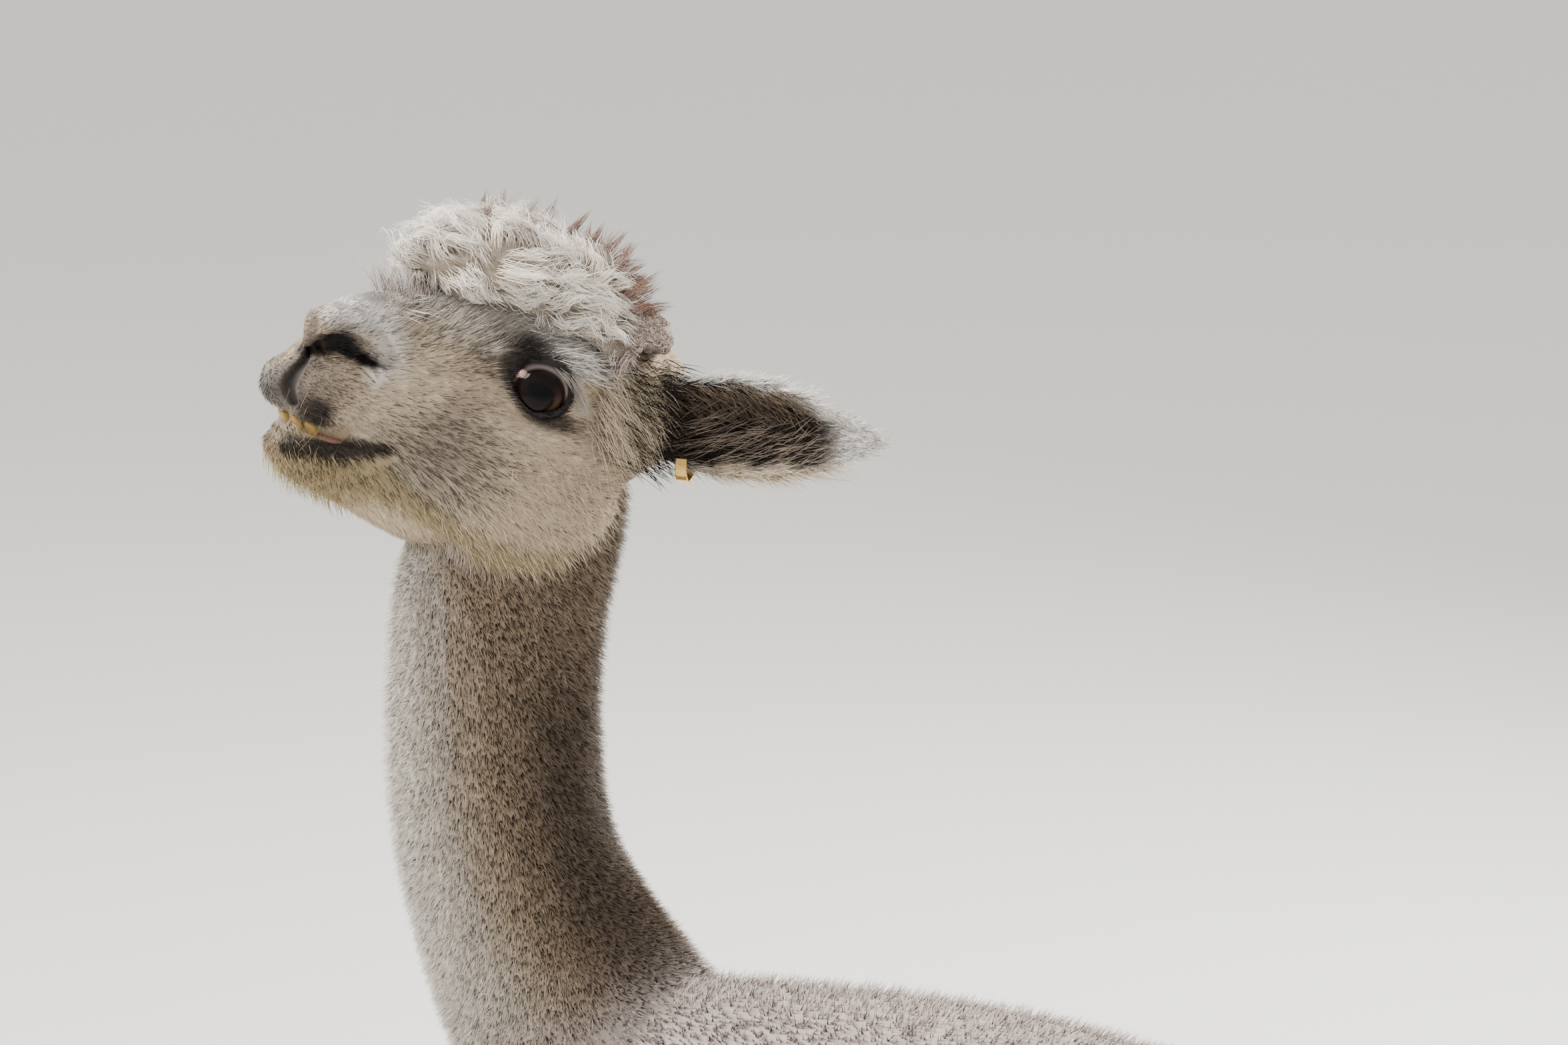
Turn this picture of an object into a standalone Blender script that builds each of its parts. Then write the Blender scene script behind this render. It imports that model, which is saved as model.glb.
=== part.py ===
"""A huacaya alpaca at life size, freshly shorn, standing square and looking round to its left.

Metres, +Z up, +X towards the chest, +Y to the animal's left. The origin lies on the floor under
the middle of the animal. The head, ears, eyes and topknot are modelled in a frame of their own,
with +X along the line of the mouth and its origin between the cheeks, and are posed on the neck.
"""

from math import cos, pi, radians, sin, sqrt
from random import Random

import bmesh
import bpy
from mathutils import Matrix, Vector
from mathutils.bvhtree import BVHTree

GAP = 0.0003  # clearance between pieces that meet face to face
NAPE_GAP = 0.0005  # clearance of the neck from the head, whose jaw has creases

# Pose of the head: where its frame sits, and how far it is turned and raised
HEAD_PLACE = Vector((0.380, 0.004, 1.193))
HEAD_TURN = radians(52)
HEAD_RAISE = radians(20)

# Torso stations: x, top, belly, half width, height of the widest point
TORSO = (
    (-0.425, 0.725, 0.655, 0.030, 0.690),
    (-0.405, 0.754, 0.612, 0.074, 0.680),
    (-0.365, 0.784, 0.578, 0.104, 0.675),
    (-0.290, 0.811, 0.556, 0.121, 0.670),
    (-0.190, 0.833, 0.545, 0.126, 0.666),
    (-0.080, 0.850, 0.528, 0.137, 0.662),
    (0.030, 0.861, 0.506, 0.140, 0.658),
    (0.120, 0.860, 0.488, 0.132, 0.658),
    (0.200, 0.854, 0.482, 0.121, 0.660),
    (0.280, 0.842, 0.494, 0.112, 0.670),
    (0.350, 0.810, 0.530, 0.097, 0.680),
    (0.400, 0.768, 0.582, 0.075, 0.685),
    (0.425, 0.730, 0.635, 0.040, 0.690),
)

# Neck stations: centre, half depth front to back, half width, turn, lean of the section
NECK = (
    ((0.244, 0.000, 0.680), 0.112, 0.098, 0, 58),
    ((0.308, 0.001, 0.730), 0.106, 0.092, 4, 46),
    ((0.359, 0.005, 0.798), 0.096, 0.083, 12, 30),
    ((0.388, 0.019, 0.866), 0.084, 0.073, 22, 14),
    ((0.403, 0.032, 0.932), 0.0770, 0.065, 32, 2),
    ((0.407, 0.035, 1.000), 0.0755, 0.060, 40, -2),
    ((0.404, 0.034, 1.060), 0.076, 0.056, 46, -4),
    ((0.399, 0.029, 1.105), 0.078, 0.051, 52, -8),
    ((0.389, 0.017, 1.145), 0.073, 0.046, 52, -14),
    ((0.376, -0.002, 1.182), 0.056, 0.041, 52, -22),
)

# Front leg stations from the shoulder down: x, height, half depth, half width
FRONT_LEG = (
    (0.262, 0.640, 0.074, 0.036),
    (0.258, 0.590, 0.070, 0.042),
    (0.247, 0.530, 0.057, 0.042),
    (0.240, 0.460, 0.043, 0.036),
    (0.238, 0.380, 0.034, 0.031),
    (0.240, 0.305, 0.034, 0.032),
    (0.238, 0.270, 0.033, 0.031),
    (0.234, 0.220, 0.026, 0.026),
    (0.231, 0.140, 0.024, 0.025),
    (0.232, 0.090, 0.026, 0.028),
    (0.238, 0.055, 0.027, 0.031),
    (0.246, 0.030, 0.028, 0.031),
)
FRONT_SPREAD = 0.082

# Hind leg stations from the hip down: x, height, half depth, half width
HIND_LEG = (
    (-0.300, 0.660, 0.086, 0.040),
    (-0.290, 0.600, 0.086, 0.048),
    (-0.284, 0.545, 0.076, 0.047),
    (-0.292, 0.485, 0.059, 0.040),
    (-0.318, 0.420, 0.044, 0.033),
    (-0.348, 0.355, 0.036, 0.029),
    (-0.364, 0.310, 0.036, 0.028),
    (-0.360, 0.265, 0.031, 0.027),
    (-0.348, 0.190, 0.026, 0.026),
    (-0.336, 0.110, 0.026, 0.026),
    (-0.330, 0.080, 0.028, 0.028),
    (-0.324, 0.050, 0.028, 0.031),
    (-0.316, 0.030, 0.028, 0.031),
)
HIND_SPREAD = 0.090

TOE_LENGTH = 0.041
TOE_WIDTH = 0.0165
TOE_HEIGHT = 0.024
TOE_SPREAD = 0.0158
TOE_SPLAY = radians(8)
# Toenail stations from its root: forward, up, half width, half height
NAIL = (
    (-0.006, 0.003, 0.0070, 0.0070),
    (0.004, 0.003, 0.0078, 0.0082),
    (0.010, 0.000, 0.0072, 0.0078),
    (0.016, -0.004, 0.0054, 0.0060),
    (0.0195, -0.0075, 0.0028, 0.0032),
)

# Arched blocks that part each leg from the torso: x from, x to, inner side, top, rise of the arch
FRONT_BLOCK = (0.150, 0.352, 0.040, 0.680, 0.110)
HIND_BLOCK = (-0.470, -0.165, 0.040, 0.715, 0.150)
ARCH_STEPS = 14
ARCH_ROUNDNESS = 2.4
BLOCK_REACH = 0.4
# Slanting plane that parts the neck from the torso
NECK_BASE = Vector((0.322, 0.0, 0.822))
NECK_BASE_LEAN = radians(38)

# Skull with the back of the jaw: x, top, bottom, half width, height of the widest point
SKULL = (
    (-0.084, 0.054, 0.026, 0.024, 0.040),
    (-0.072, 0.071, 0.008, 0.043, 0.036),
    (-0.048, 0.086, -0.020, 0.056, 0.026),
    (-0.018, 0.096, -0.062, 0.061, 0.012),
    (0.014, 0.099, -0.088, 0.063, 0.008),
    (0.046, 0.095, -0.093, 0.060, 0.008),
    (0.078, 0.087, -0.090, 0.051, 0.002),
    (0.106, 0.076, -0.084, 0.042, -0.006),
    (0.126, 0.064, -0.078, 0.036, -0.012),
    (0.140, 0.040, -0.070, 0.028, -0.016),
)

# Upper muzzle with the upper lip, stations as for the skull
MUZZLE = (
    (0.096, 0.078, -0.020, 0.036, 0.010),
    (0.116, 0.070, -0.031, 0.037, 0.004),
    (0.136, 0.060, -0.033, 0.036, 0.000),
    (0.154, 0.052, -0.033, 0.035, -0.002),
    (0.170, 0.044, -0.032, 0.032, -0.004),
    (0.182, 0.031, -0.030, 0.027, -0.007),
    (0.191, 0.012, -0.027, 0.019, -0.010),
    (0.196, -0.002, -0.021, 0.009, -0.012),
)

# Front of the lower jaw with the lower lip, stations as for the skull
CHIN = (
    (0.096, -0.022, -0.082, 0.034, -0.050),
    (0.118, -0.027, -0.079, 0.032, -0.052),
    (0.140, -0.031, -0.075, 0.030, -0.052),
    (0.158, -0.034, -0.070, 0.027, -0.052),
    (0.172, -0.037, -0.063, 0.022, -0.050),
    (0.182, -0.042, -0.054, 0.011, -0.048),
)

# Mouth line: back at its corners, half width there, front, opening at the corners and in front
MOUTH_BACK = 0.114
MOUTH_FRONT = 0.196
MOUTH_HALF_WIDTH = 0.037
MOUTH_HEIGHT = -0.0285
MOUTH_DROP = 0.0055
MOUTH_OPENING = (0.0020, 0.0075)
MOUTH_DEPTH = 0.011

TEETH = 6
TOOTH_SPACING = 0.0062
TOOTH_SIZE = (0.0042, 0.0030, 0.0120)

EYE_PLACE = Vector((0.034, 0.0455, 0.035))
EYE_RADIUS = 0.0205
EYE_GAZE = Vector((0.30, 0.95, 0.06)).normalized()
LID_THICKNESS = 0.0036
EYE_OPENING = (0.0182, 0.0150)

EAR_LENGTH = 0.145
EAR_WALL = 0.0045
# Ear stations: share of the length, half width, depth of the back, depth of the cup
EAR = (
    (-0.16, 0.0190, 0.0200, -0.0060),
    (0.00, 0.0225, 0.0220, -0.0020),
    (0.10, 0.0275, 0.0225, 0.0080),
    (0.22, 0.0310, 0.0220, 0.0165),
    (0.38, 0.0315, 0.0200, 0.0155),
    (0.54, 0.0285, 0.0170, 0.0125),
    (0.70, 0.0225, 0.0130, 0.0085),
    (0.84, 0.0150, 0.0085, 0.0045),
    (0.94, 0.0078, 0.0048, 0.0015),
    (1.00, 0.0022, 0.0022, 0.0004),
)
EAR_RINGS = 14
EAR_SIDES = 9
# Each ear: side, root, direction of its length, way its cup faces
EARS = {
    "ear_left": ((-0.050, 0.050, 0.036), (-0.78, 0.58, 0.24), (0.60, 0.79, -0.06)),
    "ear_right": ((-0.046, -0.046, 0.046), (-0.10, -0.95, 0.25), (0.88, -0.10, 0.20)),
}

# Topknot masses, out to the tips of the wool: centre and radii, in the head's frame
TOPKNOT = (
    ((0.064, 0.000, 0.087), (0.070, 0.061, 0.051)),
    ((0.030, 0.000, 0.079), (0.070, 0.065, 0.052)),
    ((0.000, 0.000, 0.063), (0.064, 0.065, 0.048)),
)
TOPKNOT_CORE = 0.69  # size of the core beside the masses
TOPKNOT_MIDDLE = Vector((0.032, 0.0, 0.070))
TOPKNOT_TRIANGLES = 320
TOPKNOT_CLUMPS = 96  # ways out that are tried for a clump
TOPKNOT_CLUMP = (0.0235, 0.0180)  # half length and half width

# Clumps of wool: facets, how far they stand past the tips and into the core, least height over skin
CLUMP_SIDES = 6
CLUMP_BANDS = 4
CLUMP_RISE = 0.0035
CLUMP_ROOT = 0.0070
CLUMP_CLEAR = 0.004
PROBE = 0.3  # how far out a form is probed from

# Tail stations: x, height, half width, half depth
TAIL = (
    (-0.385, 0.792, 0.026, 0.016),
    (-0.408, 0.782, 0.030, 0.020),
    (-0.428, 0.755, 0.034, 0.023),
    (-0.440, 0.715, 0.037, 0.025),
    (-0.445, 0.672, 0.037, 0.025),
    (-0.444, 0.632, 0.031, 0.022),
    (-0.438, 0.600, 0.019, 0.015),
    (-0.434, 0.588, 0.008, 0.007),
)
TAIL_RINGS = 12
TAIL_CORE = 0.62
TAIL_ROWS = 5
TAIL_ROUND = 5
TAIL_CLUMP = (0.0300, 0.0165)

BODY_TRIANGLES = 3900
HEAD_TRIANGLES = 2500

# Finish of each kind of piece: colour, roughness, metallic
FINISHES = {
    "fleece": ((0.42, 0.37, 0.32), 0.95, 0.0),
    "face": ((0.52, 0.46, 0.39), 0.90, 0.0),
    "wool": ((0.72, 0.68, 0.60), 0.95, 0.0),
    "ear": ((0.10, 0.08, 0.07), 0.90, 0.0),
    "eye": ((0.012, 0.009, 0.008), 0.08, 0.0),
    "nail": ((0.06, 0.05, 0.045), 0.45, 0.0),
    "brass": ((0.62, 0.44, 0.12), 0.32, 1.0),
}


def clear_scene():
    for obj in list(bpy.data.objects):
        bpy.data.objects.remove(obj)


def head_matrix():
    """From the head's frame to the animal's."""
    turn = Matrix.Rotation(HEAD_TURN, 4, "Z")
    raise_muzzle = Matrix.Rotation(-HEAD_RAISE, 4, "Y")
    return Matrix.Translation(HEAD_PLACE) @ turn @ raise_muzzle


def through(rows, count):
    """The rows of numbers, read off a smooth curve through them at evenly counted places."""
    last = len(rows) - 1
    out = []
    for k in range(count):
        at = last * k / (count - 1)
        i = min(int(at), last - 1)
        t = at - i
        before, here, after, beyond = (rows[min(max(j, 0), last)] for j in (i - 1, i, i + 1, i + 2))
        out.append([
            0.5 * (2 * q + (r - p) * t + (2 * p - 5 * q + 4 * r - s) * t * t + (3 * q - p - 3 * r + s) * t ** 3)
            for p, q, r, s in zip(before, here, after, beyond)
        ])
    return out


def power(value, exponent):
    return abs(value) ** exponent * (1 if value >= 0 else -1)


def ring(centre, across, along, half_across, half_along, sides, roundness=2.0):
    """Points round a superellipse; half_along may be a pair, for its two halves."""
    ahead, behind = half_along if isinstance(half_along, tuple) else (half_along, half_along)
    points = []
    for k in range(sides):
        a = 2 * pi * k / sides
        reach = ahead if sin(a) > 0 else behind
        points.append(
            centre
            + across * half_across * power(cos(a), 2 / roundness)
            + along * reach * power(sin(a), 2 / roundness)
        )
    return points


def as_object(name, bm):
    mesh = bpy.data.meshes.new(name)
    bm.to_mesh(mesh)
    bm.free()
    obj = bpy.data.objects.new(name, mesh)
    bpy.context.scene.collection.objects.link(obj)
    return obj


def loft(name, rings):
    """A closed skin bridged over rings of points."""
    bm = bmesh.new()
    loops = []
    for points in rings:
        verts = [bm.verts.new(p) for p in points]
        loops.append([bm.edges.new((v, verts[(k + 1) % len(verts)])) for k, v in enumerate(verts)])
        if len(loops) in (1, len(rings)):
            bm.faces.new(verts)
    for lower, upper in zip(loops, loops[1:]):
        bmesh.ops.bridge_loops(bm, edges=lower + upper)
    bmesh.ops.triangulate(bm, faces=[f for f in bm.faces if len(f.verts) > 4])
    bmesh.ops.recalc_face_normals(bm, faces=bm.faces)
    return as_object(name, bm)


def ball(name, centre, radii, turn=None, fineness=3):
    """An ellipsoid with its radii along its own axes, turned and set at its centre."""
    bm = bmesh.new()
    bmesh.ops.create_icosphere(bm, subdivisions=fineness, radius=1.0)
    scale = Matrix.Diagonal((*radii, 1))
    bmesh.ops.transform(bm, matrix=Matrix.Translation(centre) @ (turn or Matrix()) @ scale, verts=bm.verts)
    return as_object(name, bm)


def block(name, low, high, grown=0.0):
    """A box between two corners, grown all round."""
    bm = bmesh.new()
    bmesh.ops.create_cube(bm, size=1.0)
    growth = Vector((grown, grown, grown))
    low, high = Vector(low) - growth, Vector(high) + growth
    size = Matrix.Diagonal((*(high - low), 1))
    bmesh.ops.transform(bm, matrix=Matrix.Translation((low + high) / 2) @ size, verts=bm.verts)
    return as_object(name, bm)


def baked(obj):
    """Replaces the object's mesh by what its modifiers make of it."""
    graph = bpy.context.evaluated_depsgraph_get()
    mesh = bpy.data.meshes.new_from_object(obj.evaluated_get(graph))
    obj.modifiers.clear()
    obj.data = mesh
    return obj


def place(obj, matrix):
    obj.data.transform(matrix)
    return obj


def copied(obj, name):
    twin = bpy.data.objects.new(name, obj.data.copy())
    bpy.context.scene.collection.objects.link(twin)
    return twin


def joined(name, pieces):
    """One object holding every piece's mesh."""
    bm = bmesh.new()
    for piece in pieces:
        bm.from_mesh(piece.data)
        bpy.data.objects.remove(piece)
    return as_object(name, bm)


def fused(name, pieces, voxel, passes, triangles):
    """The pieces melted into one smooth skin, thinned to about so many triangles."""
    obj = joined(name, pieces)
    remesh = obj.modifiers.new("Melt", "REMESH")
    remesh.mode = "VOXEL"
    remesh.voxel_size = voxel
    soften = obj.modifiers.new("Soften", "SMOOTH")
    soften.iterations = passes
    baked(obj)
    thin = obj.modifiers.new("Thin", "DECIMATE")
    thin.ratio = triangles / (2 * len(obj.data.polygons))
    return baked(obj)


def boolean(obj, other, operation):
    modifier = obj.modifiers.new(operation.title(), "BOOLEAN")
    modifier.object = other
    modifier.operation = operation
    return baked(obj)


def cut(obj, *cutters):
    """Takes the cutters out of the object, and removes them."""
    for cutter in cutters:
        boolean(obj, cutter, "DIFFERENCE")
        bpy.data.objects.remove(cutter)
    return obj


def swollen(obj, by=GAP):
    """A copy of the object, grown by the gap all over."""
    grown = copied(obj, obj.name + "_swollen")
    grow = grown.modifiers.new("Grow", "DISPLACE")
    grow.strength = by
    grow.mid_level = 0
    return baked(grown)


def spiral_way(k, count):
    """The k-th of evenly spread ways out from a middle."""
    up = 1 - 2 * (k + 0.5) / count
    a = k * pi * (3 - sqrt(5))
    flat = sqrt(1 - up * up)
    return Vector((flat * cos(a), flat * sin(a), up))


def height_over(tree, spot):
    """How far a spot lies outside a surface, negative inside it."""
    nearest, normal, _, distance = tree.find_nearest(spot)
    return distance if (spot - nearest).dot(normal) > 0 else -distance


def clump(spot, normal, lie, size, core):
    """A rounded clump of wool, from inside the core out past the spot, long along its lie."""
    depth = core.ray_cast(spot, -normal)[3]
    half = (CLUMP_RISE + depth + CLUMP_ROOT) / 2
    along = (lie - normal * lie.dot(normal)).normalized()
    turn = Matrix((along, normal.cross(along), normal)).transposed().to_4x4()
    bm = bmesh.new()
    bmesh.ops.create_uvsphere(bm, u_segments=CLUMP_SIDES, v_segments=CLUMP_BANDS, radius=1.0)
    put = Matrix.Translation(spot + normal * (CLUMP_RISE - half)) @ turn @ Matrix.Diagonal((*size, half, 1))
    bmesh.ops.transform(bm, matrix=put, verts=bm.verts)
    return as_object("clump", bm)


def largest_body(obj):
    """Keeps only the object's largest closed surface."""
    bm = bmesh.new()
    bm.from_mesh(obj.data)
    left = set(bm.faces)
    bodies = []
    while left:
        stack = [left.pop()]
        body = list(stack)
        while stack:
            for edge in stack.pop().edges:
                for face in edge.link_faces:
                    if face in left:
                        left.remove(face)
                        stack.append(face)
                        body.append(face)
        bodies.append(body)
    bodies.sort(key=lambda faces: -sum(f.calc_area() for f in faces))
    for body in bodies[1:]:
        bmesh.ops.delete(bm, geom=body, context="FACES")
    bm.to_mesh(obj.data)
    bm.free()
    return obj


def united(core, pieces):
    """The core with the pieces fused to it, by one Boolean union on their collection."""
    group = bpy.data.collections.new("pieces")
    for piece in pieces:
        group.objects.link(piece)
    modifier = core.modifiers.new("Union", "BOOLEAN")
    modifier.operation = "UNION"
    modifier.operand_type = "COLLECTION"
    modifier.collection = group
    modifier.solver = "MANIFOLD"
    baked(core)
    for piece in pieces:
        bpy.data.objects.remove(piece)
    bpy.data.collections.remove(group)
    return largest_body(core)


def torso():
    rings = [
        ring(Vector((x, 0, wide)), Vector((0, 1, 0)), Vector((0, 0, 1)), half, (top - wide, wide - low), 28, 2.15)
        for x, top, low, half, wide in through(TORSO, 40)
    ]
    return loft("torso_form", rings)


def neck():
    rows = [(*centre, depth, width, turn, lean) for centre, depth, width, turn, lean in NECK]
    rings = []
    for x, y, z, depth, width, turn, lean in through(rows, 32):
        frame = Matrix.Rotation(radians(turn), 3, "Z") @ Matrix.Rotation(radians(lean), 3, "Y")
        rings.append(ring(Vector((x, y, z)), frame.col[1], frame.col[0], width, depth, 24))
    return loft("neck_form", rings)


def leg(stations, spread, side):
    rings = [
        ring(Vector((x, side * spread, z)), Vector((0, 1, 0)), Vector((1, 0, 0)), width, depth, 20)
        for x, z, depth, width in through(stations, 40)
    ]
    return loft("leg_form", rings)


def muscles(side):
    """The shoulder and the thigh, set into the flank."""
    lean_back = Matrix.Rotation(radians(24), 4, "Y")
    lean_ahead = Matrix.Rotation(radians(-18), 4, "Y")
    return [
        ball("shoulder", Vector((0.268, 0.070 * side, 0.672)), (0.075, 0.050, 0.135), lean_back),
        ball("upper_arm", Vector((0.262, 0.086 * side, 0.575)), (0.066, 0.036, 0.080)),
        ball("thigh", Vector((-0.292, 0.076 * side, 0.665)), (0.110, 0.052, 0.130), lean_ahead),
        ball("stifle", Vector((-0.262, 0.092 * side, 0.560)), (0.066, 0.038, 0.080), lean_ahead),
    ]


def toe_places(foot_x, spread, side):
    """Middle and splay of a foot's two toes."""
    for inner in (-1, 1):
        splay = Matrix.Rotation(TOE_SPLAY * inner, 4, "Z")
        yield Vector((foot_x, side * spread + TOE_SPREAD * inner, TOE_HEIGHT - 0.005)), splay


FEET = {"front": (FRONT_LEG[-1][0] + 0.016, FRONT_SPREAD), "hind": (HIND_LEG[-1][0] + 0.018, HIND_SPREAD)}


def toes(foot, side):
    return [
        ball("toe_form", centre, (TOE_LENGTH, TOE_WIDTH, TOE_HEIGHT), splay)
        for centre, splay in toe_places(*FEET[foot], side)
    ]


def body():
    """Torso, neck, legs and toes in one skin, standing on flats at the floor."""
    forms = [torso(), neck()]
    for side in (-1, 1):
        forms += [leg(FRONT_LEG, FRONT_SPREAD, side), leg(HIND_LEG, HIND_SPREAD, side)]
        forms += muscles(side) + toes("front", side) + toes("hind", side)
    skin = fused("body", forms, 0.0045, 12, BODY_TRIANGLES)
    return cut(skin, block("floor", (-1, -1, -1), (1, 1, 0)))


def profile_loft(name, stations, count, sides, roundness):
    rings = [
        ring(Vector((x, 0, wide)), Vector((0, 1, 0)), Vector((0, 0, 1)), half, (top - wide, wide - low), sides, roundness)
        for x, top, low, half, wide in through(stations, count)
    ]
    return loft(name, rings)


def mirrored(place_, side):
    return Vector((place_[0], place_[1] * side, place_[2]))


def head_forms():
    """The plain masses of the head, in its own frame."""
    forms = [
        profile_loft("skull_form", SKULL, 40, 28, 2.15),
        profile_loft("muzzle_form", MUZZLE, 32, 24, 2.2),
        profile_loft("chin_form", CHIN, 24, 24, 2.1),
    ]
    for side in (-1, 1):
        brow_turn = Matrix.Rotation(radians(14) * side, 4, "X")
        forms += [
            ball("cheek", mirrored((0.022, 0.030, -0.030), side), (0.070, 0.030, 0.056)),
            ball("jaw_corner", mirrored((0.010, 0.031, -0.064), side), (0.048, 0.021, 0.037)),
            ball("brow", mirrored((0.036, 0.044, 0.052), side), (0.038, 0.020, 0.013), brow_turn),
            ball("lids", mirrored(EYE_PLACE, side), (EYE_RADIUS + LID_THICKNESS + 0.0016,) * 3),
            ball("lip_lobe", mirrored((0.166, 0.016, -0.009), side), (0.030, 0.0195, 0.022)),
            ball("nostril_wing", mirrored((0.160, 0.020, 0.026), side), (0.026, 0.0165, 0.0165)),
            ball("lower_lip", mirrored((0.146, 0.017, -0.046), side), (0.033, 0.015, 0.013)),
        ]
    return forms


def mouth_cutter():
    """A wedge round the lips, open outwards, that parts them as far as the cheek."""
    rings = []
    steps = 22
    for k in range(steps + 1):
        a = pi * (k / steps - 0.5)
        out = Vector((cos(a), sin(a), 0))
        reach_x = MOUTH_FRONT - MOUTH_BACK
        lip = Vector((MOUTH_BACK + reach_x * cos(a), MOUTH_HALF_WIDTH * sin(a), MOUTH_HEIGHT - MOUTH_DROP * cos(a)))
        half = (MOUTH_OPENING[0] + (MOUTH_OPENING[1] - MOUTH_OPENING[0]) * cos(a)) / 2
        up = Vector((0, 0, half))
        tip = lip - out * MOUTH_DEPTH
        far = lip + out * 0.010
        rings.append([tip - up * 0.3, far - up, far + up, tip + up * 0.3])
    return loft("mouth_cutter", rings)


def teeth():
    """The lower front teeth, rooted in the jaw and leaning out between the lips."""
    made = []
    for k in range(TEETH):
        off = (k - (TEETH - 1) / 2) * TOOTH_SPACING
        spread = off * 9
        root = Vector((0.176 - abs(off) * 0.55, off, -0.0365))
        turn = Matrix.Rotation(spread, 4, "Z") @ Matrix.Rotation(radians(28), 4, "Y")
        made.append(ball(f"tooth_{k}", root, TOOTH_SIZE, turn, 1))
    return made


def eye_frame(side):
    """Axes of an eye: along the lids, up, and out along its gaze."""
    gaze = mirrored(EYE_GAZE, side)
    along = Vector((1, 0, 0.05))
    along = (along - gaze * along.dot(gaze)).normalized()
    up = gaze.cross(along) if side < 0 else along.cross(gaze)
    return along, up if up.z > 0 else -up, gaze


def lid_cutter(side):
    """An almond-shaped plug that opens the lids."""
    along, up, gaze = eye_frame(side)
    rings = []
    for reach, grow in ((0.006, 0.9), (0.034, 1.15)):
        centre = mirrored(EYE_PLACE, side) + gaze * reach
        rings.append(ring(centre, along, up, EYE_OPENING[0] * grow, EYE_OPENING[1] * grow, 20, 1.75))
    return loft("lid_cutter", rings)


def nostril_cutter(side):
    turn = Matrix.Rotation(radians(-24) * side, 4, "Z") @ Matrix.Rotation(radians(4), 4, "Y")
    return ball("nostril_cutter", mirrored((0.160, 0.034, 0.0215), side), (0.023, 0.011, 0.0048), turn, 2)


def eyes():
    made = []
    for name, side in (("eye_left", 1), ("eye_right", -1)):
        made.append(ball(name, mirrored(EYE_PLACE, side), (EYE_RADIUS,) * 3, None, 3))
    return made


def head(eye_balls):
    skin = fused("head", head_forms(), 0.0022, 14, HEAD_TRIANGLES)
    cut(skin, mouth_cutter())
    for side in (-1, 1):
        cut(skin, lid_cutter(side), nostril_cutter(side))
    for eye in eye_balls:
        cut(skin, swollen(eye))
    for tooth in teeth():
        boolean(skin, tooth, "UNION")
        bpy.data.objects.remove(tooth)
    return largest_body(skin)


def ear(name):
    """A cupped ear, lofted from its root to its tip."""
    root, length_way, cup_way = (Vector(v) for v in EARS[name])
    length_way.normalize()
    cup_way = (cup_way - length_way * cup_way.dot(length_way)).normalized()
    across = length_way.cross(cup_way)
    rings = []
    for share, half, back, cup in through(EAR, EAR_RINGS):
        centre = root + length_way * EAR_LENGTH * share + cup_way * 0.010 * share * share
        outer = []
        inner = []
        for k in range(EAR_SIDES):
            a = pi * k / (EAR_SIDES - 1)
            outer.append(centre + across * half * cos(a) - cup_way * back * sin(a))
            if 0 < k < EAR_SIDES - 1:
                inner.append(centre + across * (half - EAR_WALL * half / 0.03) * cos(a) - cup_way * cup * sin(a))
        rings.append(outer + inner[::-1])
    return loft(name, rings)


def surface_of(obj):
    """The object's surface, for rays and nearest points."""
    return BVHTree.FromObject(obj, bpy.context.evaluated_depsgraph_get())


def topknot(skull, ears):
    """The woolly cap between the ears: rounded clumps set close on a core."""
    masses = [ball("wool", Vector(centre), radii) for centre, radii in TOPKNOT]
    core = fused("topknot", masses, 0.005, 4, TOPKNOT_TRIANGLES)
    tips = surface_of(core)
    bare = [surface_of(piece) for piece in (skull, *ears)]
    to_middle = Matrix.Translation(TOPKNOT_MIDDLE)
    place(core, to_middle @ Matrix.Scale(TOPKNOT_CORE, 4) @ to_middle.inverted())
    inside = surface_of(core)
    dice = Random(6)
    clumps = []
    for k in range(TOPKNOT_CLUMPS):
        way = spiral_way(k, TOPKNOT_CLUMPS)
        spot, normal, _, _ = tips.ray_cast(TOPKNOT_MIDDLE + way * PROBE, -way)
        if min(height_over(surface, spot) for surface in bare) < CLUMP_CLEAR:
            continue
        size = [r * dice.uniform(0.88, 1.14) for r in TOPKNOT_CLUMP]
        lie = Vector((0.75, dice.uniform(-0.7, 0.7), -0.55))
        clumps.append(clump(spot, normal, lie, size, inside))
    return united(core, clumps)


def tail_loft(name, slimness):
    """The tail's form, out to the tips of its wool or slimmer."""
    sideways = Vector((0, 1, 0))
    stations = [(Vector((x, 0, z)), width, depth) for x, z, width, depth in through(TAIL, TAIL_RINGS)]
    rings = []
    for k, (centre, width, depth) in enumerate(stations):
        before = stations[max(k - 1, 0)][0]
        after = stations[min(k + 1, TAIL_RINGS - 1)][0]
        thick = (after - before).normalized().cross(sideways)
        rings.append(ring(centre, sideways, thick, width * slimness, depth * slimness, 10))
    return loft(name, rings)


def tail(rump):
    """The tail, hung with rounded clumps that point down it."""
    form = tail_loft("tail_form", 1.0)
    tips, bare = surface_of(form), surface_of(rump)
    bpy.data.objects.remove(form)
    core = tail_loft("tail", TAIL_CORE)
    inside = surface_of(core)
    dice = Random(6)
    clumps = []
    for row, (x, z, _, _) in enumerate(through(TAIL, 2 * TAIL_ROWS + 1)[1::2]):
        for k in range(TAIL_ROUND):
            a = 2 * pi * (k + 0.5 * (row % 2)) / TAIL_ROUND
            way = Vector((-cos(a), sin(a), 0))
            spot, normal, _, _ = tips.ray_cast(Vector((x, 0, z)) + way * PROBE, -way)
            if spot is None or height_over(bare, spot) < CLUMP_CLEAR:
                continue
            size = [r * dice.uniform(0.9, 1.12) for r in TAIL_CLUMP]
            lie = Vector((0.1, dice.uniform(-0.25, 0.25), -1))
            clumps.append(clump(spot, normal, lie, size, inside))
    return united(core, clumps)


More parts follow.
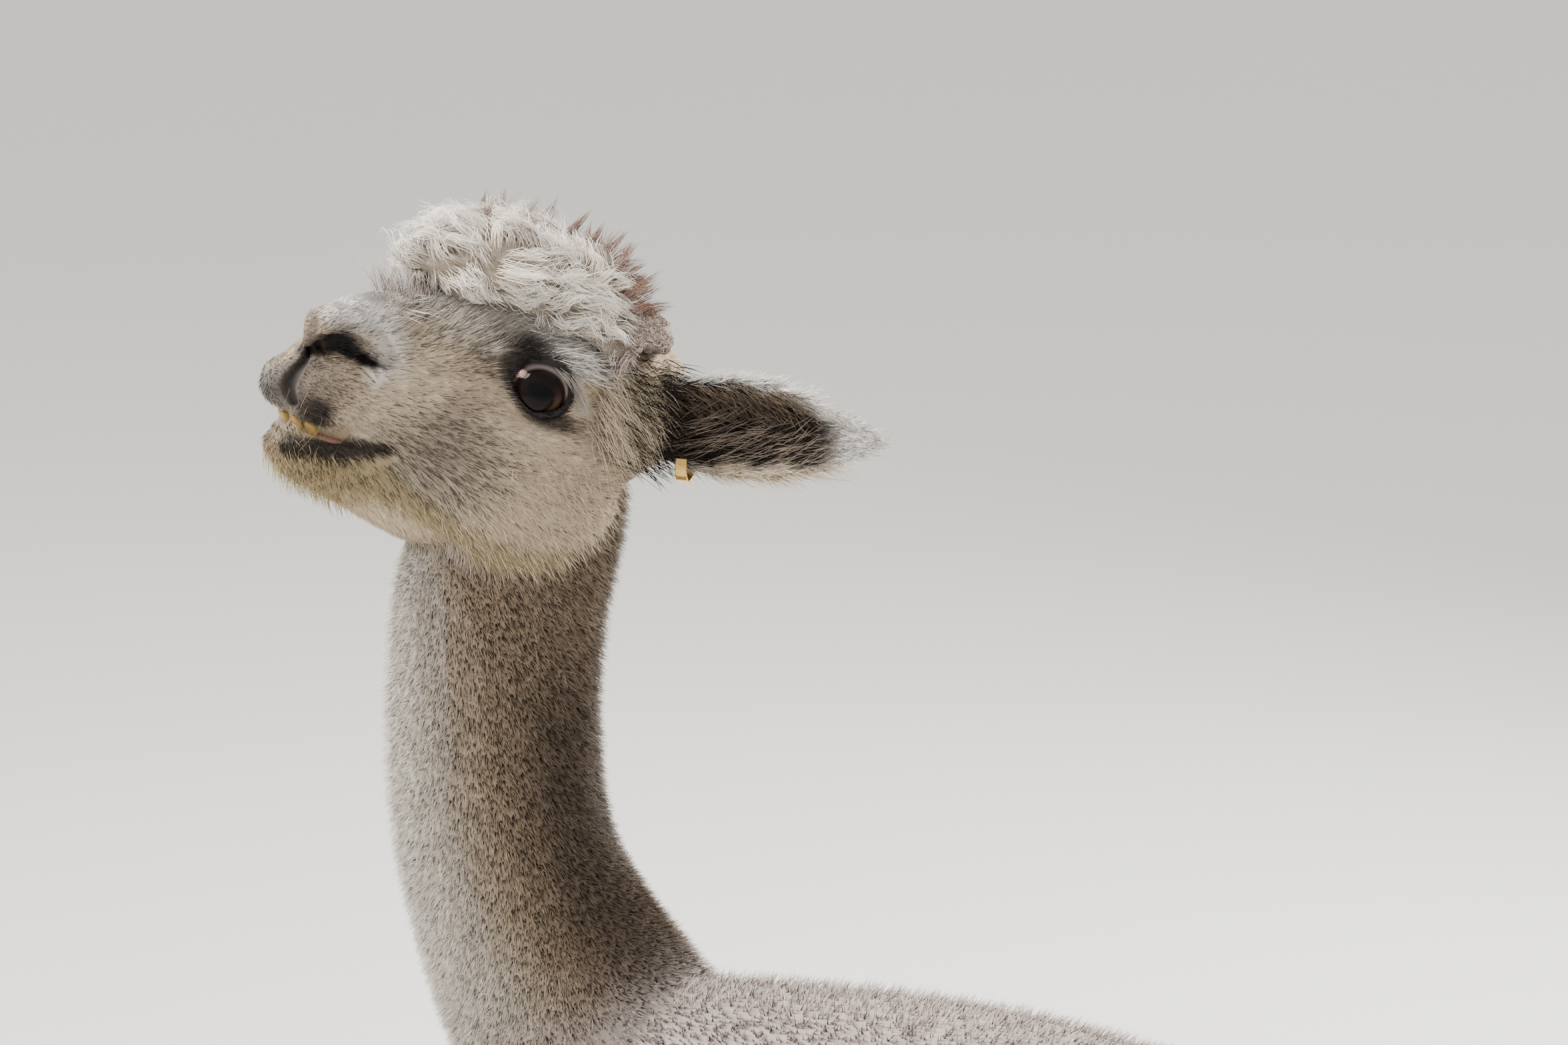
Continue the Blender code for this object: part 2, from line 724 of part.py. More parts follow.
def nail(name, foot, side, inner):
    """A toenail: a short blunt wedge, bent down on the front of a toe."""
    centre, splay = list(toe_places(*FEET[foot], side))[inner]
    rings = [
        ring(Vector((x, 0, z)), Vector((0, 1, 0)), Vector((0, 0, 1)), half, high, 8)
        for x, z, half, high in NAIL
    ]
    made = loft(name, rings)
    return place(made, Matrix.Translation(centre + splay @ Vector((TOE_LENGTH - 0.010, 0, 0))) @ splay)


def leg_block(size, side, grown=0.0):
    """The space that a leg takes: an arch over its top, run outwards from its inner side."""
    low_x, high_x, inner, top, rise = size
    half = (high_x - low_x) / 2 + grown
    middle_x = (low_x + high_x) / 2
    outline = [(middle_x - half, -BLOCK_REACH), (middle_x + half, -BLOCK_REACH)]
    for k in range(ARCH_STEPS + 1):
        a = pi * k / ARCH_STEPS
        x = middle_x + half * power(cos(a), 2 / ARCH_ROUNDNESS)
        outline.append((x, top - rise + (rise + grown) * power(sin(a), 2 / ARCH_ROUNDNESS)))
    return loft("leg_block", [[Vector((x, y * side, z)) for x, z in outline] for y in (inner - grown, BLOCK_REACH)])


def neck_block(grown=0.0):
    """The space above the slanting plane where the neck leaves the torso."""
    made = block("neck_block", (-BLOCK_REACH, -BLOCK_REACH, 0), (BLOCK_REACH, BLOCK_REACH, 2 * BLOCK_REACH), grown)
    return place(made, Matrix.Translation(NECK_BASE) @ Matrix.Rotation(NECK_BASE_LEAN, 4, "Y"))


def split_off(name, skin, region, grown_region):
    """Cuts the region's share of the skin away as a piece of its own."""
    piece = copied(skin, name)
    boolean(piece, region, "INTERSECT")
    bpy.data.objects.remove(region)
    cut(skin, grown_region)
    return largest_body(piece)


def parted(skin):
    """The body's skin divided into legs, neck and torso by thin cuts."""
    pieces = []
    for foot, size in (("front", FRONT_BLOCK), ("hind", HIND_BLOCK)):
        for side, side_name in ((1, "left"), (-1, "right")):
            name = f"leg_{foot}_{side_name}"
            pieces.append(split_off(name, skin, leg_block(size, side), leg_block(size, side, GAP)))
    pieces.append(split_off("neck", skin, neck_block(), neck_block(GAP)))
    skin.name = "torso"
    pieces.append(largest_body(skin))
    return pieces


def ear_tag(ear_obj):
    """A small brass strip bent round the lower rim of the left ear."""
    root, length_way, cup_way = (Vector(v) for v in EARS["ear_left"])
    length_way.normalize()
    cup_way = (cup_way - length_way * cup_way.dot(length_way)).normalized()
    across = length_way.cross(cup_way)
    down = across if across.z < 0 else -across
    centre = root + length_way * 0.024 + down * 0.0235 - cup_way * 0.002
    rings = []
    steps = 12
    for k in range(steps + 1):
        a = pi * (k / steps) * 1.16 - pi * 0.08
        out = cup_way * cos(a) + down * sin(a)
        rings.append([
            centre + out * reach + length_way * shift
            for reach, shift in ((0.0078, -0.0026), (0.0090, -0.0026), (0.0090, 0.0026), (0.0078, 0.0026))
        ])
    return loft("ear_tag", rings)


def finish(name):
    colour, roughness, metallic = FINISHES[name]
    material = bpy.data.materials.get(name) or bpy.data.materials.new(name)
    material.use_nodes = True
    shader = material.node_tree.nodes["Principled BSDF"]
    shader.inputs["Base Color"].default_value = (*colour, 1)
    shader.inputs["Roughness"].default_value = roughness
    shader.inputs["Metallic"].default_value = metallic
    return material


def stand_at_origin(pieces):
    """Moves the animal so that the origin is under the middle of its box."""
    corners = [v.co for piece in pieces for v in piece.data.vertices]
    low = Vector([min(c[axis] for c in corners) for axis in range(3)])
    high = Vector([max(c[axis] for c in corners) for axis in range(3)])
    shift = Vector((-(low.x + high.x) / 2, -(low.y + high.y) / 2, -low.z))
    for piece in pieces:
        place(piece, Matrix.Translation(shift))
    return shift


def main():
    clear_scene()
    pose = head_matrix()
    skin = body()
    eye_balls = eyes()
    skull = head(eye_balls)
    ears = {name: ear(name) for name in EARS}
    for made in ears.values():
        largest_body(cut(made, swollen(skull)))
    wool = topknot(skull, ears.values())
    cut(wool, swollen(skull), *[swollen(made) for made in ears.values()])
    largest_body(wool)
    tag = ear_tag(ears["ear_left"])
    largest_body(cut(ears["ear_left"], swollen(tag)))
    head_pieces = [skull, wool, tag, *eye_balls, *ears.values()]
    for piece in head_pieces:
        place(piece, pose)
    cut(skin, swollen(skull, NAPE_GAP))
    pieces = parted(largest_body(skin))
    rump = pieces[-1]
    brush = largest_body(cut(tail(rump), swollen(rump)))
    nails = []
    for foot in FEET:
        for side, side_name in ((1, "left"), (-1, "right")):
            limb = bpy.data.objects[f"leg_{foot}_{side_name}"]
            for inner, place_name in ((0, "a"), (1, "b")):
                claw = nail(f"nail_{foot}_{side_name}_{place_name}", foot, side, inner)
                nails.append(largest_body(cut(claw, swollen(limb))))
    finishes = {"eye": eye_balls, "wool": [wool, brush], "face": [skull], "ear": list(ears.values())}
    finishes |= {"nail": nails, "brass": [tag], "fleece": pieces}
    for name, group in finishes.items():
        for piece in group:
            piece.data.materials.clear()
            piece.data.materials.append(finish(name))
    return stand_at_origin([piece for group in finishes.values() for piece in group])


SHIFT = main()
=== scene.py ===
"""The looks of a freshly shorn huacaya alpaca: its skin, coat, wool, eyes, teeth, nails and ear tag.

Metres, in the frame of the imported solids. One skin replaces the solids of flesh and lies inside
them by the depth of the coat. The coat is thousands of thin solid tufts that root in that skin and
carry its markings. Places on the head are given in the head's own frame: +X along the mouth, +Y to
the animal's left, +Z up, with its origin between the cheeks.
"""

from math import cos, pi, radians, sin

import bmesh
import bpy
import numpy as np
from mathutils import Matrix, Vector
from mathutils.bvhtree import BVHTree
from mathutils.kdtree import KDTree


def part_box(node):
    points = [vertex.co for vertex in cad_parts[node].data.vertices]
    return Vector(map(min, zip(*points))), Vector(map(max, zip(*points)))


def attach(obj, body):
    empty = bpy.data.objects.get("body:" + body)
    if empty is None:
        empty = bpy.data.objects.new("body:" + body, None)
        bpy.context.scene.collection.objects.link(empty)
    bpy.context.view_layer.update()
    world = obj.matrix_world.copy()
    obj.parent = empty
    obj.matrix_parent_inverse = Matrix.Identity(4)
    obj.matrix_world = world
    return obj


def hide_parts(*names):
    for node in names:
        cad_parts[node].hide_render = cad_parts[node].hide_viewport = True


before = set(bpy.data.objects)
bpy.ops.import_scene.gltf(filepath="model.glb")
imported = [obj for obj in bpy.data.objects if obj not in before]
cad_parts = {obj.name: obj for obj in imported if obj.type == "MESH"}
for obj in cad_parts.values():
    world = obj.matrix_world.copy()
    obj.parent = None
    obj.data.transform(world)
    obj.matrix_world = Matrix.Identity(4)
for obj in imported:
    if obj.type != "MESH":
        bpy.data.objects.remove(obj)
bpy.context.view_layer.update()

# The head's frame, hung on the left eye's middle
HEAD_TURN = radians(52)
HEAD_RAISE = radians(20)
EYE_PLACE = Vector((0.034, 0.0455, 0.035))
EYE_RADIUS = 0.0205
EYE_GAZE = Vector((0.30, 0.95, 0.06)).normalized()
EYE_SLANT = (0.98, 0.0, 0.19)
LID_OPENING = (0.0182, 0.0150)  # half length and half height
LID_CORNER = 0.14  # how much longer and lower the lids' opening is at its front corner
LID_RADIUS = 0.0222  # of the ball that the lids' rims lie on

# The photograph's camera: what it aims at from the head, from how far, and its view of the animal
AIM_FROM_HEAD = Vector((-0.1385, -0.0655, -0.053))
CAMERA_DISTANCE = 2.4
CAMERA_BEARING = radians(30)
CAMERA_PITCH = radians(14)
CAMERA_LENS = 84.9

# Each region's coat: depth of the skin under the solids, and its tufts' length, width, lean off the
# skin in degrees and count to a square metre
DEPTH, LENGTH, WIDTH, LEAN, DENSITY = range(5)
COATS = {
    "torso": (0.0110, 0.0122, 0.0018, 60, 90000),
    "neck": (0.0085, 0.0100, 0.0010, 57, 440000),
    "head": (0.0030, 0.0092, 0.0009, 15, 500000),
    "legs": (0.0060, 0.0120, 0.0022, 20, 60000),
    "ears": (0.0006, 0.0110, 0.0010, 18, 330000),
    "tail": (0.0140, 0.0300, 0.0022, 28, 90000),
}
REGIONS = tuple(COATS)
FLESH = {
    "torso": ("torso",),
    "neck": ("neck",),
    "head": ("head",),
    "legs": ("leg_front_left", "leg_front_right", "leg_hind_left", "leg_hind_right"),
    "ears": ("ear_left", "ear_right"),
    "tail": ("tail",),
}
SIDES = ((1, "left"), (-1, "right"))

NAILS = tuple(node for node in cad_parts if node.startswith("nail"))
# The flesh behind each nail: its middle from the nail's, and its radii
TOE_FROM_NAIL = Vector((-0.0115, 0.0, -0.0014))
TOE_RADII = (0.0175, 0.0138, 0.0168)

CLOSING = 0.0004  # growth that closes the thin gaps between the solids
BODY_GRAIN = (0.005, 6, 0.34)  # voxel, smoothing passes, share of the faces kept
HEAD_GRAIN = (0.0017, 3, 0.58)
NECK_SEAM = 1.045  # height where the fine skin of the head goes over into the body's
SEAM_BAND = 0.003
FLOOR_CLEARANCE = 0.0004
REGION_BLEND = 6  # passes that soften the borders between the regions


def middle_of(node):
    """Middle of a node's box."""
    low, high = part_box(node)
    return (low + high) / 2


def head_matrix():
    """From the head's frame to the animal's."""
    turn = Matrix.Rotation(HEAD_TURN, 3, "Z") @ Matrix.Rotation(-HEAD_RAISE, 3, "Y")
    return Matrix.Translation(middle_of("eye_left") - turn @ EYE_PLACE) @ turn.to_4x4()


HEAD = head_matrix()
TURN = np.array(HEAD.to_3x3())
ORIGIN = np.array(HEAD.translation)


def in_head(places):
    """Places of the animal's frame, in the head's."""
    return (places - ORIGIN) @ TURN


def from_head(places):
    """Places of the head's frame, in the animal's."""
    return places @ TURN.T + ORIGIN


def folded_over(head):
    """Places of the head's frame with those of its right side mirrored onto its left."""
    return np.stack((head[:, 0], np.abs(head[:, 1]), head[:, 2]), axis=1)


def mirrored(spot, side):
    """A place of the head's left side, on the side asked for."""
    return Vector((spot[0], spot[1] * side, spot[2]))


# Plain help with meshes and arrays


def as_object(name, bm):
    mesh = bpy.data.meshes.new(name)
    bm.to_mesh(mesh)
    bm.free()
    obj = bpy.data.objects.new(name, mesh)
    bpy.context.scene.collection.objects.link(obj)
    return obj


def baked(obj):
    """Replaces the object's mesh by what its modifiers make of it."""
    graph = bpy.context.evaluated_depsgraph_get()
    mesh = bpy.data.meshes.new_from_object(obj.evaluated_get(graph))
    obj.modifiers.clear()
    obj.data = mesh
    return obj


def add_mesh_of(bm, part):
    """Moves all of one bmesh into another."""
    spare = bpy.data.meshes.new("spare")
    part.to_mesh(spare)
    part.free()
    bm.from_mesh(spare)
    bpy.data.meshes.remove(spare)


def add_solid(bm, name, growth=0.0):
    """Adds a CAD node's solid to a bmesh, its doubles merged, grown along its normals."""
    own = bmesh.new()
    own.from_mesh(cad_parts[name].data)
    bmesh.ops.remove_doubles(own, verts=own.verts, dist=1e-5)
    own.normal_update()
    for vert in own.verts:
        vert.co += vert.normal * growth
    add_mesh_of(bm, own)


def remeshed(obj, voxel, smoothing, kept=1.0):
    """The object's forms melted into one skin, smoothed and thinned."""
    remesh = obj.modifiers.new("Melt", "REMESH")
    remesh.mode = "VOXEL"
    remesh.voxel_size = voxel
    soften = obj.modifiers.new("Soften", "SMOOTH")
    soften.iterations = smoothing
    baked(obj)
    if kept < 1:
        thin = obj.modifiers.new("Thin", "DECIMATE")
        thin.ratio = kept
        baked(obj)
    return obj


def ball(bm, centre, radii, turn=None, fineness=3):
    """Adds an ellipsoid to a bmesh."""
    made = bmesh.ops.create_icosphere(bm, subdivisions=fineness, radius=1.0)
    matrix = Matrix.Translation(centre) @ (turn or Matrix()) @ Matrix.Diagonal((*radii, 1))
    bmesh.ops.transform(bm, matrix=matrix, verts=made["verts"])


def read(collection, name, width, kind=np.float32):
    values = np.empty(len(collection) * width, kind)
    collection.foreach_get(name, values)
    return values.reshape(-1, width) if width > 1 else values


def arrays_of(mesh):
    """A mesh's points, their normals, its triangles and the triangles' areas."""
    mesh.calc_loop_triangles()
    places = read(mesh.vertices, "co", 3).astype(float)
    normals = read(mesh.vertices, "normal", 3).astype(float)
    triangles = read(mesh.loop_triangles, "vertices", 3, np.int32)
    corners = places[triangles]
    crossed = np.cross(corners[:, 1] - corners[:, 0], corners[:, 2] - corners[:, 0])
    return places, normals, triangles, np.linalg.norm(crossed, axis=1) / 2


def set_places(obj, places):
    obj.data.vertices.foreach_set("co", places.astype(np.float32).ravel())
    obj.data.update()


def unit(vectors):
    return vectors / np.maximum(np.linalg.norm(vectors, axis=-1, keepdims=True), 1e-9)


def flattened(ways, normals):
    """Ways pressed flat onto the surface under them."""
    return unit(ways - normals * np.sum(ways * normals, axis=1, keepdims=True))


def step(values, low, high):
    """A soft step from 0 at low to 1 at high."""
    share = np.clip((values - low) / (high - low), 0, 1)
    return share * share * (3 - 2 * share)


def ramp(value, start, reach):
    """One number's straight ramp, from 0 at the start to 1 at its reach."""
    return min(max((value - start) / reach, 0.0), 1.0)


def band(values, low, high):
    """1 between two values, falling to 0 just beyond them."""
    soft = (high - low) * 0.3
    return step(values, low - soft, low) * (1 - step(values, high, high + soft))


def spot_mask(places, centre, radii, soft=0.5):
    """1 inside an ellipsoid, falling to 0 over its soft rim."""
    reach = np.linalg.norm((places - np.array(centre)) / np.array(radii), axis=-1)
    return 1 - step(reach, 1 - soft, 1 + soft)


def line_distance(places, start, end):
    """Distance to a straight piece of line."""
    start, end = np.array(start), np.array(end)
    along = end - start
    share = np.clip((places - start) @ along / (along @ along), 0, 1)
    return np.linalg.norm(places - start - share[:, None] * along, axis=-1)


def path_distance(places, spots):
    """Distance to a bent line through the spots."""
    return np.min([line_distance(places, a, b) for a, b in zip(spots, spots[1:])], axis=0)


def nearest(spots, places):
    """The number of the spot that is nearest to each place."""
    tree = KDTree(len(spots))
    for number, spot in enumerate(spots.tolist()):
        tree.insert(spot, number)
    tree.balance()
    return np.array([tree.find(place)[1] for place in places.tolist()])


def coloured(colour, count):
    """The same colour for each of so many points."""
    return np.tile(np.array(colour), (count, 1))


def tinted(colours, colour, mask):
    """Colours with another laid over them where the mask says."""
    return colours + (np.array(colour) - colours) * mask[:, None]


# The skin


BEADS_PER_SPOT = 5


def beads(bm, spots, radii):
    """A chain of balls along a curve through the spots, which melt into a roll."""
    count = len(spots) * BEADS_PER_SPOT
    for k in range(count):
        at = k / (count - 1) * (len(spots) - 1)
        i = min(int(at), len(spots) - 2)
        share = at - i
        centre = Vector(spots[i]).lerp(Vector(spots[i + 1]), share)
        radius = radii[i] + (radii[i + 1] - radii[i]) * share
        ball(bm, HEAD @ centre, (radius,) * 3, fineness=2)


def eye_axes(side):
    """Along the lids, up, and out along the gaze of an eye."""
    gaze = mirrored(EYE_GAZE, side)
    along = Vector(EYE_SLANT)
    along = (along - gaze * along.dot(gaze)).normalized()
    up = along.cross(gaze) * side
    return along, up, gaze


def lid_ring(side, radii, count):
    """Places round the opening of an eye's lids, in the head's frame, from its front corner upwards."""
    along, up, gaze = eye_axes(side)
    spots = []
    for k in range(count):
        a = 2 * pi * k / count
        long = radii[0] * cos(a) * (1 + LID_CORNER * max(cos(a), 0) ** 3)
        flat = along * long + up * radii[1] * sin(a) * (1 - LID_CORNER * cos(a))
        rise = max(LID_RADIUS ** 2 - flat.length_squared, 0) ** 0.5
        spots.append(mirrored(EYE_PLACE, side) + flat + gaze * rise)
    return spots


NOSE_SETBACK = 0.0015  # how far the muzzle's front lies behind the solid's
NOSE_LIFT = 0.009  # how much higher the bridge is than the solid's
FAR_ROLL = 0.8  # size of the right nostril's roll to the left one's
NOSE_SKEW = 0.36  # how much more the nose lies back on its right side
NOSTRIL_ROLL = ((0.1795, 0.0200, 0.0205), (0.1800, 0.0165, 0.0315), (0.1730, 0.0150, 0.0380),
                (0.1599, 0.0195, 0.0385), (0.1450, 0.0260, 0.0335), (0.1345, 0.0300, 0.0260),
                (0.1288, 0.0320, 0.0190))
NOSTRIL_RADII = (0.0100, 0.0125, 0.0120, 0.0112, 0.0100, 0.0085, 0.0070)
UPPER_LIP = ((0.116, 0.036, -0.0200), (0.130, 0.0300, -0.0225), (0.145, 0.029, -0.0240),
             (0.161, 0.0295, -0.0255), (0.173, 0.0260, -0.0235), (0.184, 0.013, -0.0170))
LOWER_LIP = ((0.117, 0.0340, -0.0275), (0.131, 0.0285, -0.0350), (0.147, 0.0265, -0.0405),
             (0.162, 0.023, -0.0420), (0.173, 0.013, -0.0395), (0.176, 0.0, -0.0385))
UPPER_LIP_RADII = (0.0036, 0.0046, 0.0054, 0.0070, 0.0076, 0.0066)
LOWER_LIP_RADII = (0.0036, 0.0046, 0.0052, 0.0056, 0.0056, 0.0056)
MUZZLE_START = 0.12  # where along the head the muzzle's front starts to move
LID_SPOTS = 12
LID_ROLL = 0.0026


def head_forms(bm):
    """Soft forms that the plain solid of the head leaves to the skin."""
    into = HEAD.inverted()
    for vert in bm.verts:
        place = into @ vert.co
        rise = ramp(place.x, 0.115, 0.035) * ramp(place.z, 0.018, 0.018)
        vert.co += HEAD.to_3x3() @ Vector((0, 0, NOSE_LIFT * rise))
    for side, size in ((-1, FAR_ROLL), (1, 1.0)):
        nostril_radii = [radius * size for radius in NOSTRIL_RADII]
        rolls = ((NOSTRIL_ROLL, nostril_radii), (UPPER_LIP, UPPER_LIP_RADII), (LOWER_LIP, LOWER_LIP_RADII))
        for spots, radii in rolls:
            beads(bm, [mirrored(spot, side) for spot in spots], radii)
    for vert in bm.verts:
        place = into @ vert.co
        if place.x > MUZZLE_START:
            back = NOSE_SETBACK * ramp(place.z, -0.036, 0.010)
            skew = ramp(place.z, 0.002, 0.016) * NOSE_SKEW * (0.022 - place.y)
            place.x -= ramp(place.x, MUZZLE_START, 0.05) * (back + skew)
            vert.co = HEAD @ place
    for side in (-1, 1):
        ring = lid_ring(side, LID_OPENING, LID_SPOTS)
        beads(bm, ring + ring[:1], [LID_ROLL] * (LID_SPOTS + 1))


def toe_ends(bm):
    """Flesh that fills the hollow behind each nail."""
    for node in NAILS:
        ball(bm, middle_of(node) + TOE_FROM_NAIL, TOE_RADII)


def skin_part(name, nodes, grain, add_forms):
    """Some of the solids, with the forms added to them, melted into one skin."""
    bm = bmesh.new()
    for node in nodes:
        add_solid(bm, node, CLOSING)
    add_forms(bm)
    return remeshed(as_object(name, bm), *grain)


def build_skin():
    """One closed skin: the body at a coarse grain and the head at a fine one, bridged round the neck."""
    coarse = [node for region in ("torso", "neck", "legs", "tail") for node in FLESH[region]]
    body = skin_part("body_skin", coarse, BODY_GRAIN, toe_ends)
    head = skin_part("head_skin", ("head", "neck", "ear_left", "ear_right"), HEAD_GRAIN, head_forms)
    bm = bmesh.new()
    for piece, side in ((body, 1), (head, -1)):
        part = bmesh.new()
        part.from_mesh(piece.data)
        bmesh.ops.bisect_plane(
            part, geom=part.verts[:] + part.edges[:] + part.faces[:], dist=1e-6,
            plane_co=(0, 0, NECK_SEAM - side * SEAM_BAND), plane_no=(0, 0, side), clear_outer=True)
        add_mesh_of(bm, part)
        bpy.data.objects.remove(piece)
    rim = [edge for edge in bm.edges if edge.is_boundary]
    bmesh.ops.bridge_loops(bm, edges=rim)
    bmesh.ops.recalc_face_normals(bm, faces=bm.faces)
    return as_object("skin", bm)


class Surface:
    """The skin as arrays, one row for each of its points: place, normal, region weights and coat."""

    def __init__(self, obj):
        self.obj = obj
        self.refresh()
        self.regions = self.softened(self.region_weights(), REGION_BLEND)

    def refresh(self):
        self.places, self.normals, self.triangles, self.areas = arrays_of(self.obj.data)
        self.edges = read(self.obj.data.edges, "vertices", 2, np.int32)

    def region_weights(self):
        """1 in the region whose solid is nearest, 0 elsewhere."""
        points, faces, owners = [], [], []
        for index, region in enumerate(REGIONS):
            for node in FLESH[region]:
                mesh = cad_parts[node].data
                start = len(points)
                points += [v.co for v in mesh.vertices]
                faces += [[start + v for v in face.vertices] for face in mesh.polygons]
                owners += [index] * len(mesh.polygons)
        tree = BVHTree.FromPolygons(points, faces)
        weights = np.zeros((len(self.places), len(REGIONS)))
        for k, place in enumerate(self.places):
            weights[k, owners[tree.find_nearest(place)[2]]] = 1
        return weights

    def softened(self, values, passes):
        """Values averaged with their neighbours' along the edges."""
        count = len(self.places)
        a, b = self.edges.T
        degree = np.bincount(a, minlength=count) + np.bincount(b, minlength=count) + 1
        for _ in range(passes):
            columns = []
            for column in values.T:
                total = np.bincount(a, column[b], count) + np.bincount(b, column[a], count) + column
                columns.append(total / degree)
            values = np.stack(columns, axis=1)
        return values

    def weight(self, region):
        return self.regions[:, REGIONS.index(region)]

    def mixed(self, column):
        """A measure of the coats, mixed by the region weights."""
        return self.regions @ np.array([COATS[region][column] for region in REGIONS])

    def shift(self, moves):
        """Moves the skin's points, none of them under the floor."""
        places = self.places + moves
        places[:, 2] = np.maximum(places[:, 2], FLOOR_CLEARANCE)
        set_places(self.obj, places)
        self.refresh()


# Lines on the head: the nostril's slit, and its lower and upper edge as heights over the place along the head
SLIT = ((0.1810, 0.0235, 0.0125), (0.1740, 0.026, 0.0175), (0.1650, 0.030, 0.0240),
        (0.1560, 0.032, 0.0230), (0.1465, 0.033, 0.0185), (0.1380, 0.034, 0.0170))
HOLE_FLOOR = ((0.136, 0.145, 0.152, 0.162, 0.170, 0.181), (0.0165, 0.0145, 0.0160, 0.0180, 0.0150, 0.0100))
HOLE_TOP = ((0.136, 0.146, 0.157, 0.165, 0.172, 0.181), (0.0185, 0.0225, 0.0290, 0.0315, 0.0260, 0.0140))
PHILTRUM = ((0.1795, 0.0215, 0.0130), (0.1810, 0.0225, 0.0075), (0.1830, 0.0235, 0.0015),
            (0.1845, 0.0255, -0.0040), (0.1845, 0.0260, -0.0110), (0.1810, 0.0270, -0.0190))
MOUTH = ((0.117, 0.0385, -0.0240), (0.130, 0.034, -0.0280), (0.144, 0.031, -0.0325),
         (0.160, 0.029, -0.0350), (0.175, 0.022, -0.0340), (0.186, 0.010, -0.0315), (0.188, 0.0, -0.0310))
DARK_LIP = ((0.174, 0.020, -0.0455), (0.169, 0.0235, -0.0445), (0.162, 0.026, -0.0425),
            (0.149, 0.028, -0.0405), (0.137, 0.028, -0.0380), (0.128, 0.032, -0.0340),
            (0.122, 0.034, -0.0295), (0.114, 0.037, -0.0260))
JAW_EDGE = ((0.120, 0.030, -0.050), (0.080, 0.038, -0.065), (0.040, 0.046, -0.075),
            (0.005, 0.049, -0.077), (-0.022, 0.045, -0.066))
CHIN_FOLD = ((0.114, 0.037, -0.036), (0.125, 0.033, -0.047), (0.142, 0.029, -0.057), (0.150, 0.018, -0.066))
# Strokes that carve or swell the skin: places, radii, the way and how far. These lie on both sides of the
# head: slit, mouth, fold of the chin, pad of the upper lip, cheek, hollow before the eye, and brow.
MIRRORED_STROKES = (
    (SLIT, (0.0018, 0.0030, 0.0050, 0.0048, 0.0032, 0.0016), (-0.15, -1.0, 0.05), 0.0130),
    (MOUTH, (0.0014, 0.0018, 0.0022, 0.0026, 0.0030, 0.0034, 0.0036), (-0.55, -0.80, 0.0), 0.0075),
    (CHIN_FOLD, (0.0040, 0.0050, 0.0050, 0.0040), (-0.1, -1.0, 0.15), 0.0022),
    (((0.160, 0.036, -0.012), (0.173, 0.031, -0.012)), (0.0110, 0.0100), (0.25, 1.0, -0.1), 0.0030),
    (((0.075, 0.050, -0.020), (0.050, 0.055, -0.030)), (0.0200, 0.0220), (0.1, 1.0, 0.0), 0.0020),
    (((0.115, 0.036, 0.012), (0.100, 0.040, 0.020)), (0.0080, 0.0090), (0.0, -1.0, -0.1), 0.0024),
    (((0.058, 0.056, 0.059), (0.036, 0.062, 0.060), (0.012, 0.064, 0.050)), (0.0070, 0.0080, 0.0070),
     (0.0, 1.0, 0.2), 0.0034),
)
# These lie where they are: cleft of the upper lip, chin and the muzzle's front
SINGLE_STROKES = (
    (PHILTRUM, (0.0022, 0.0024, 0.0026, 0.0028, 0.0030, 0.0026), (-0.75, -0.65, 0.0), 0.0045),
    (((0.166, 0.016, -0.062), (0.168, -0.014, -0.060)), (0.0140, 0.0140), (0.6, 0.0, -0.8), 0.0022),
    (((0.190, 0.016, -0.010), (0.190, 0.0, -0.010)), (0.0100, 0.0120), (1.0, 0.0, 0.0), 0.0030),
)


def carve(surface):
    """Presses the strokes into the skin of the head. The places before that stay as the markings' plan."""
    head = in_head(surface.places)
    near = surface.weight("head")
    moves = np.zeros_like(head)
    tables = ((MIRRORED_STROKES, folded_over(head), np.sign(head[:, 1])), (SINGLE_STROKES, head, 1))
    for strokes, places, sign in tables:
        for spots, radii, push, far in strokes:
            steps = [line_distance(places, a, b) / ((r + s) / 2)
                     for a, b, r, s in zip(spots, spots[1:], radii, radii[1:])]
            share = (1 - step(np.min(steps, axis=0), 0.35, 1.75)) * near
            ways = np.tile(np.array(push) / np.linalg.norm(push) * far, (len(head), 1))
            ways[:, 1] *= sign
            moves += share[:, None] * ways
    surface.plan = head
    surface.shift(moves @ TURN.T)


# Markings, lie and coat of the skin


CREAM = (0.76, 0.63, 0.47)
GREY_CREAM = (0.58, 0.46, 0.34)
IVORY = (0.86, 0.81, 0.74)
WARM = (0.84, 0.70, 0.53)
OCHRE = (0.50, 0.35, 0.20)
SOOT = (0.020, 0.015, 0.013)
BLACK = (0.008, 0.006, 0.006)
UMBER = (0.10, 0.075, 0.06)
MAUVE = (0.60, 0.52, 0.49)
BEIGE = (0.50, 0.38, 0.27)
TAUPE = (0.17, 0.125, 0.09)
GREY = (0.36, 0.31, 0.27)
SLATE = (0.17, 0.155, 0.15)
TAN = (0.46, 0.36, 0.19)
WHITE = (0.92, 0.88, 0.84)

# The way the neck's front faces, which is also the side the light falls on
NECK_LIT_FRONT = np.array((0.866, 0.5, 0.0))
# Each ear, in the head's frame: its root, the way it points and the way its cup opens
EARS = {
    1: ((-0.038, 0.046, 0.036), (-0.78, 0.58, 0.24), (0.60, 0.79, -0.06)),
    -1: ((-0.045, -0.033, 0.0425), (-0.10, -0.95, 0.25), (0.88, -0.10, 0.20)),
}
EAR_LENGTH = 0.150
EAR_HALF_WIDTH = 0.031
EAR_WHITE = ((0, 0.3, 0.5, 0.7, 0.85, 1), (0.95, 0.88, 0.72, 0.42, 0.0, -1))  # where the rim's white starts
EAR_LOWER_RIM = 0.98  # of the half width, where the lower rim's pale edge starts
EAR_TAPER = 0.42  # how much less that is at the tip
